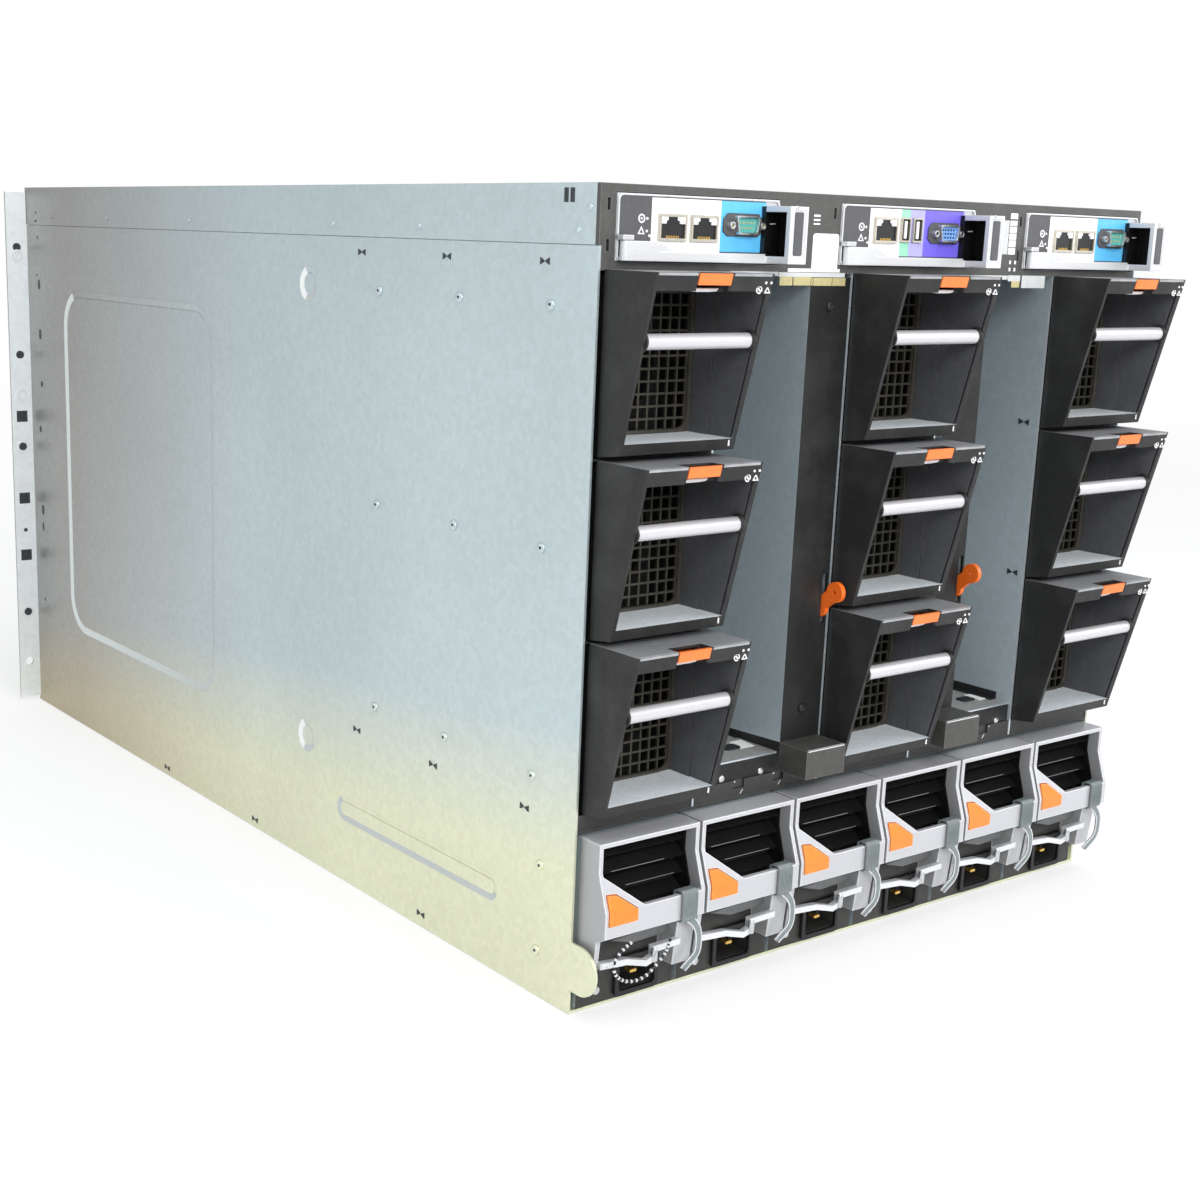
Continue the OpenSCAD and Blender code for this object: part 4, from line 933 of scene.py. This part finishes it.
BAYS = (  # places on the shelf and plate of the left bay, then of the right one
    dict(wall=41.2, edge=(73.5, 138.5), runners=(74.5, 105.5), plug=92.7,
         sticker=((85.2, 29.6), (75.0, 29.8), (76.8, 16.8), (88.2, 16.9)),
         rivets=((116.3, 115.8), (85.5, 115.6)), lances=((101.0, 106.3), (70.6, 106.8)),
         dots=((107.0, 113.0), (76.0, 113.0))),
    dict(wall=-138.8, edge=(-138.5, -79), runners=(-76.5, -107.5), plug=-118.5,
         sticker=((-127.6, 29.6), (-136.7, 27.5), (-133.7, 15.8), (-126.2, 15.5)),
         rivets=((-127.3, 115.0), (-65.0, 115.0)), lances=((-83.0, 106.8), (-114.0, 106.6)),
         dots=((-87.0, 112.5), (-119.0, 112.5))))
for k, bay in enumerate(BAYS, 1):
    s = Shape()
    for x, z in bay["rivets"]:
        head(s, (x, REAR - 2, z), "y", 1, 1.0)
    s.done(f"bay_rivets_{k}", STEEL, slot="black_sheet")
    s = Shape()
    s.prism([(x, REAR - y) for x, y in bay["sticker"]], "z", SHELF_Z, SHELF_Z + 0.3)
    s.done(f"bay_sticker_{k}", LABEL_WHITE, slot="black_sheet")
    # bright front edge of the shelf, and small lance marks on the plate below
    s = Shape()
    lip = ((2.0, -1.0), (1.7, -0.9), (1.7, -0.1), (2.6, 0.15), (2.6, -0.05))
    s.prism([(REAR - y, SHELF_Z + z) for y, z in lip], "x", *bay["edge"])
    s.done(f"bay_edge_{k}", BRIGHT_EDGE, slot="black_sheet")
    s = Shape()
    for x, z in bay["lances"]:
        s.prism([(x + 1.3, z - 1.2), (x + 0.8, z - 1.3), (x - 1.1, z + 1.2), (x - 0.6, z + 1.3)],
                "y", REAR - 0.8, REAR - 0.6)
    for x, z in bay["dots"]:
        s.lathe((x, REAR - 0.8, z), "y", [(0.5, 0), (0.45, 0.3), (0.2, 0.35)], 8)
    s.done(f"bay_plate_marks_{k}", EDGE_SILVER, slot="black_sheet")
    # connectors and runners on the shelf, with a black channel along the wall as painted shade in the gap under it
    s = Shape()
    for x in bay["runners"]:
        s.box((x - 0.6, x + 0.6), (150, REAR - 34), (SHELF_Z, SHELF_Z + 1.8))
        for y in range(int(REAR) - 60, 170, -40):
            s.box((x - 2.4, x + 2.4), (y - 4, y + 4), (SHELF_Z, SHELF_Z + 0.8))
    # the black channel along the wall: painted shade
    gap_shade = ((0, 0), (6.0, 0), (6.0, 0.4), (1.0, 0.6), (0.6, 4.6), (0, 5.0))
    s.prism([(bay["wall"] + x, SHELF_Z + z) for x, z in gap_shade], "y", 150, REAR - 12)
    x = bay["plug"]
    s.prism(rounded((x - 6, x + 5), (REAR - 25, REAR - 17), 1.5, 3), "z", SHELF_Z, SHELF_Z + 1.1)
    s.done(f"bay_runners_{k}", CASE_BLACK, 0.2, slot="black_sheet")

s = Shape()
for y, z in ((REAR - 10.9, 307.5), (REAR - 8.7, 211.1), (220, 330), (220, 178)):
    for x, sx in BAY_WALLS:
        bow_tie(s, y, z, "x", x, sx)
s.done("bay_lances", DARK_MARK, slot="galvanised")
s = Shape()
for x, sx in BAY_WALLS:
    for z in range(150, 390, 40):
        head(s, (x, 160, z), "x", sx, 0.8)
s.done("bay_wall_rivets", STEEL, slot="galvanised")
for i in (1, 2):
    new = partial(Shape, unit_origin("blank", i), 1, f"blank_{{}}_{i}", f"blank_{i}", "black_sheet")
    s = new()
    for z in (150, 380):
        head(s, (15.7, 0, z), "y", 1, 0.9, SCREW)
    s.done("screws", CASE_BLACK)
    s = new()
    s.tube([(1.0, 21.4, 131.0), (30.4, 21.4, 131.0)], 0.75, 6)
    s.done("foot_edge", EDGE_SILVER)

# ---- labels and strips on the controller row ------------------------------------------------

# the part of the gold strip in front of a blank slides out with it
blanks = [box_mm(f"io_blank_{i}") for i in (1, 2)]
s, tags = Shape(), [Shape(body=f"blank_{i}", slot="black_sheet") for i in (1, 2)]
for a, b in ((46.1, 56.6), (57.0, 71.5), (71.9, 86.9), (87.3, 97.3), (-78.0, -51.0), (-107.0, -99.0)):
    cuts = sorted([a, b] + [x for lo, hi in blanks for x in (lo.x, hi.x) if a < x < b])
    for u, v in zip(cuts, cuts[1:]):
        owner = [tag for tag, (lo, hi) in zip(tags, blanks) if lo.x < (u + v) / 2 < hi.x]
        if owner:
            owner[0].box((u, v), (REAR, REAR + 0.35), (391.2, 395.5))
        else:
            s.box((u + 0.2, v), (REAR, REAR + 0.25), (391.2, 398.0))
for i, tag in enumerate(tags, 1):
    tag.done(f"strip_gold_blank_{i}", LABEL_GOLD, 0.1)
s.done("strip_gold", LABEL_GOLD, 0.15, slot="black_sheet")
s = Shape()
for a, b, low, top in ((46.9, 98.3, 395.8, 398.2), (98.6, 134.0, 396.2, 398.4),
                       (-95.0, -49.0, 395.8, 398.2), (-107.0, -95.4, 394.9, 398.4)):
    s.box((a, b), (REAR, REAR + 0.3), (low, top))
s.done("strip_light", STRIP_PALE, 0.1, slot="black_sheet")
s = Shape()
plate = rounded((53.7, 73.8), (396.5, 419.1), 1.8, 3)
s.prism([(x, max(z, 398.5)) for x, z in plate], "y", REAR, REAR + 0.4)
s.box((51.4, 91.6), (REAR, REAR + 0.35), (398.5, 400.3))
for z, h in ((427.9, 1.1), (425.7, 1.0), (423.7, 0.8)):
    s.box((69.3, 74.1), (REAR, REAR + 0.35), (z, z + h))
for z in ((431.4, 434.7), (427.4, 430.4), (423.4, 426.9), (419.4, 422.9), (415.0, 418.9), (410.7, 414.5)):
    s.box((-99.4, -93.0), (REAR, REAR + 0.35), z)
for x in (-96.0, -100.6):
    for z in (402.0, 406.2):
        s.box((x - 0.7, x + 0.7), (REAR, REAR + 0.35), (z - 1.2, z + 0.9))
s.done("label_plates", LABEL_WHITE, slot="black_sheet")
s = Shape()
s.box((-92.2, -86.6), (REAR, REAR + 0.3), (410.7, 430.4))
s.box((-131.0, -108.6), (REAR, REAR + 0.3), (391.0, 398.4))
s.done("label_grey", STRIP_PALE, slot="black_sheet")

# ---- floor, light and camera ---------------------------------------------------------


def shown_white(name, color):
    """A pale matt stage surface that the camera sees as near white."""
    m = bpy.data.materials.new(name)
    new, link = node_makers(m)
    out, mix = new("ShaderNodeOutputMaterial"), new("ShaderNodeMixShader")
    diffuse, glow = new("ShaderNodeBsdfDiffuse"), new("ShaderNodeEmission")
    noise, tone = new("ShaderNodeTexNoise"), new("ShaderNodeMapRange")
    noise.inputs["Scale"].default_value = 3.0
    tone.inputs["To Min"].default_value, tone.inputs["To Max"].default_value = color - 0.01, color + 0.01
    link(noise.outputs["Fac"], tone.inputs["Value"])
    link(tone.outputs[0], diffuse.inputs["Color"])
    glow.inputs["Color"].default_value = (1, 1, 1, 1)
    # the white share grows from 0.6 near the object, which keeps its shadow, to all
    reach, rise = new("ShaderNodeVectorMath"), new("ShaderNodeMapRange")
    reach.operation = "LENGTH"
    link(new("ShaderNodeTexCoord").outputs["Object"], reach.inputs[0])
    rise.interpolation_type = "SMOOTHSTEP"
    rise.inputs["From Min"].default_value, rise.inputs["From Max"].default_value = 0.7, 4.0
    rise.inputs["To Min"].default_value, rise.inputs["To Max"].default_value = 0.6, 1.0
    link(reach.outputs["Value"], rise.inputs["Value"])
    path, seen, share = new("ShaderNodeLightPath"), new("ShaderNodeMath"), new("ShaderNodeMath")
    seen.operation, share.operation = "MAXIMUM", "MULTIPLY"
    link(path.outputs["Is Camera Ray"], seen.inputs[0])
    link(path.outputs["Is Glossy Ray"], seen.inputs[1])
    link(seen.outputs[0], share.inputs[0])
    link(rise.outputs[0], share.inputs[1])
    link(share.outputs[0], mix.inputs[0])
    link(diffuse.outputs[0], mix.inputs[1])
    link(glow.outputs[0], mix.inputs[2])
    link(mix.outputs[0], out.inputs[0])
    return m


FLOOR_R = 30.0
FLOOR_DROP = 0.0005  # keeps the floor clear of the case's underside
bm = bmesh.new()
bmesh.ops.create_circle(bm, cap_ends=True, segments=64, radius=FLOOR_R)
floor_mesh = bpy.data.meshes.new("floor")
bm.to_mesh(floor_mesh)
bm.free()
floor = bpy.data.objects.new("floor", floor_mesh)
floor.location.z = CAD_BOX[0].z - FLOOR_DROP
bpy.context.scene.collection.objects.link(floor)
floor_mesh.materials.append(shown_white("floor_paint", 0.86))

world = bpy.data.worlds.new("studio")
bpy.context.scene.world = world
new, link = node_makers(world)
world_mix = new("ShaderNodeMixShader")
link(new("ShaderNodeLightPath").outputs["Is Camera Ray"], world_mix.inputs[0])
for i, color, strength in ((1, (0.93, 0.96, 1.0, 1), 0.62), (2, (1, 1, 1, 1), 1.0)):
    background = new("ShaderNodeBackground")
    background.inputs[0].default_value = color
    background.inputs[1].default_value = strength
    link(background.outputs[0], world_mix.inputs[i])
link(world_mix.outputs[0], new("ShaderNodeOutputWorld").inputs[0])


def area_light(name, place, size, watts, color=(1, 1, 1)):
    """A soft lamp that looks at the object's middle."""
    data = bpy.data.lights.new(name, "AREA")
    data.shape = "RECTANGLE"
    data.size, data.size_y = size
    data.energy = watts
    data.color = color
    lamp = bpy.data.objects.new(name, data)
    lamp.location = place
    lamp.rotation_euler = (Vector(CENTRE) - Vector(place)).to_track_quat("-Z", "Y").to_euler()
    bpy.context.scene.collection.objects.link(lamp)


CENTRE = (0, 0.1, 0.22)
area_light("key", (0.9, 2.9, 1.7), (1.6, 1.2), 72)
area_light("fill", (-2.2, 1.6, 1.2), (1.8, 1.4), 20)
area_light("top", (0.1, 0.7, 2.7), (2.0, 1.6), 24)
area_light("side", (2.6, -0.8, 1.3), (1.8, 1.4), 10, (0.95, 0.98, 1.0))
area_light("back", (-0.6, -2.6, 1.6), (1.8, 1.2), 14)

# the camera fitted to the photograph: place, angles, focal length and image centre in pixels
CAMERA_PLACE = (0.7769, 1.0504, 0.4139)
AZIMUTH, ELEVATION, ROLL = (math.radians(v) for v in (36.57, 12.74, 1.70))
FOCAL_PX, CENTRE_X, CENTRE_Y, IMAGE = 1724.5, 500.0, 623.9, 1200.0
forward = -Vector((math.sin(AZIMUTH) * math.cos(ELEVATION), math.cos(AZIMUTH) * math.cos(ELEVATION),
                   math.sin(ELEVATION)))
right = forward.cross(Vector((0, 0, 1))).normalized()
up = right.cross(forward)
cam_x = right * math.cos(ROLL) + up * math.sin(ROLL)
cam_y = up * math.cos(ROLL) - right * math.sin(ROLL)
cam_data = bpy.data.cameras.new("camera")
cam_data.sensor_width = 36.0
cam_data.lens = FOCAL_PX / IMAGE * cam_data.sensor_width
cam_data.shift_x = (IMAGE / 2 - CENTRE_X) / IMAGE
cam_data.shift_y = (CENTRE_Y - IMAGE / 2) / IMAGE
cam_data.clip_start, cam_data.clip_end = 0.02, 120
camera = bpy.data.objects.new("camera", cam_data)
camera.matrix_world = Matrix.Translation(CAMERA_PLACE) @ Matrix((cam_x, cam_y, -forward)).transposed().to_4x4()
bpy.context.scene.collection.objects.link(camera)
bpy.context.scene.camera = camera
bpy.context.scene.view_settings.view_transform = "Standard"
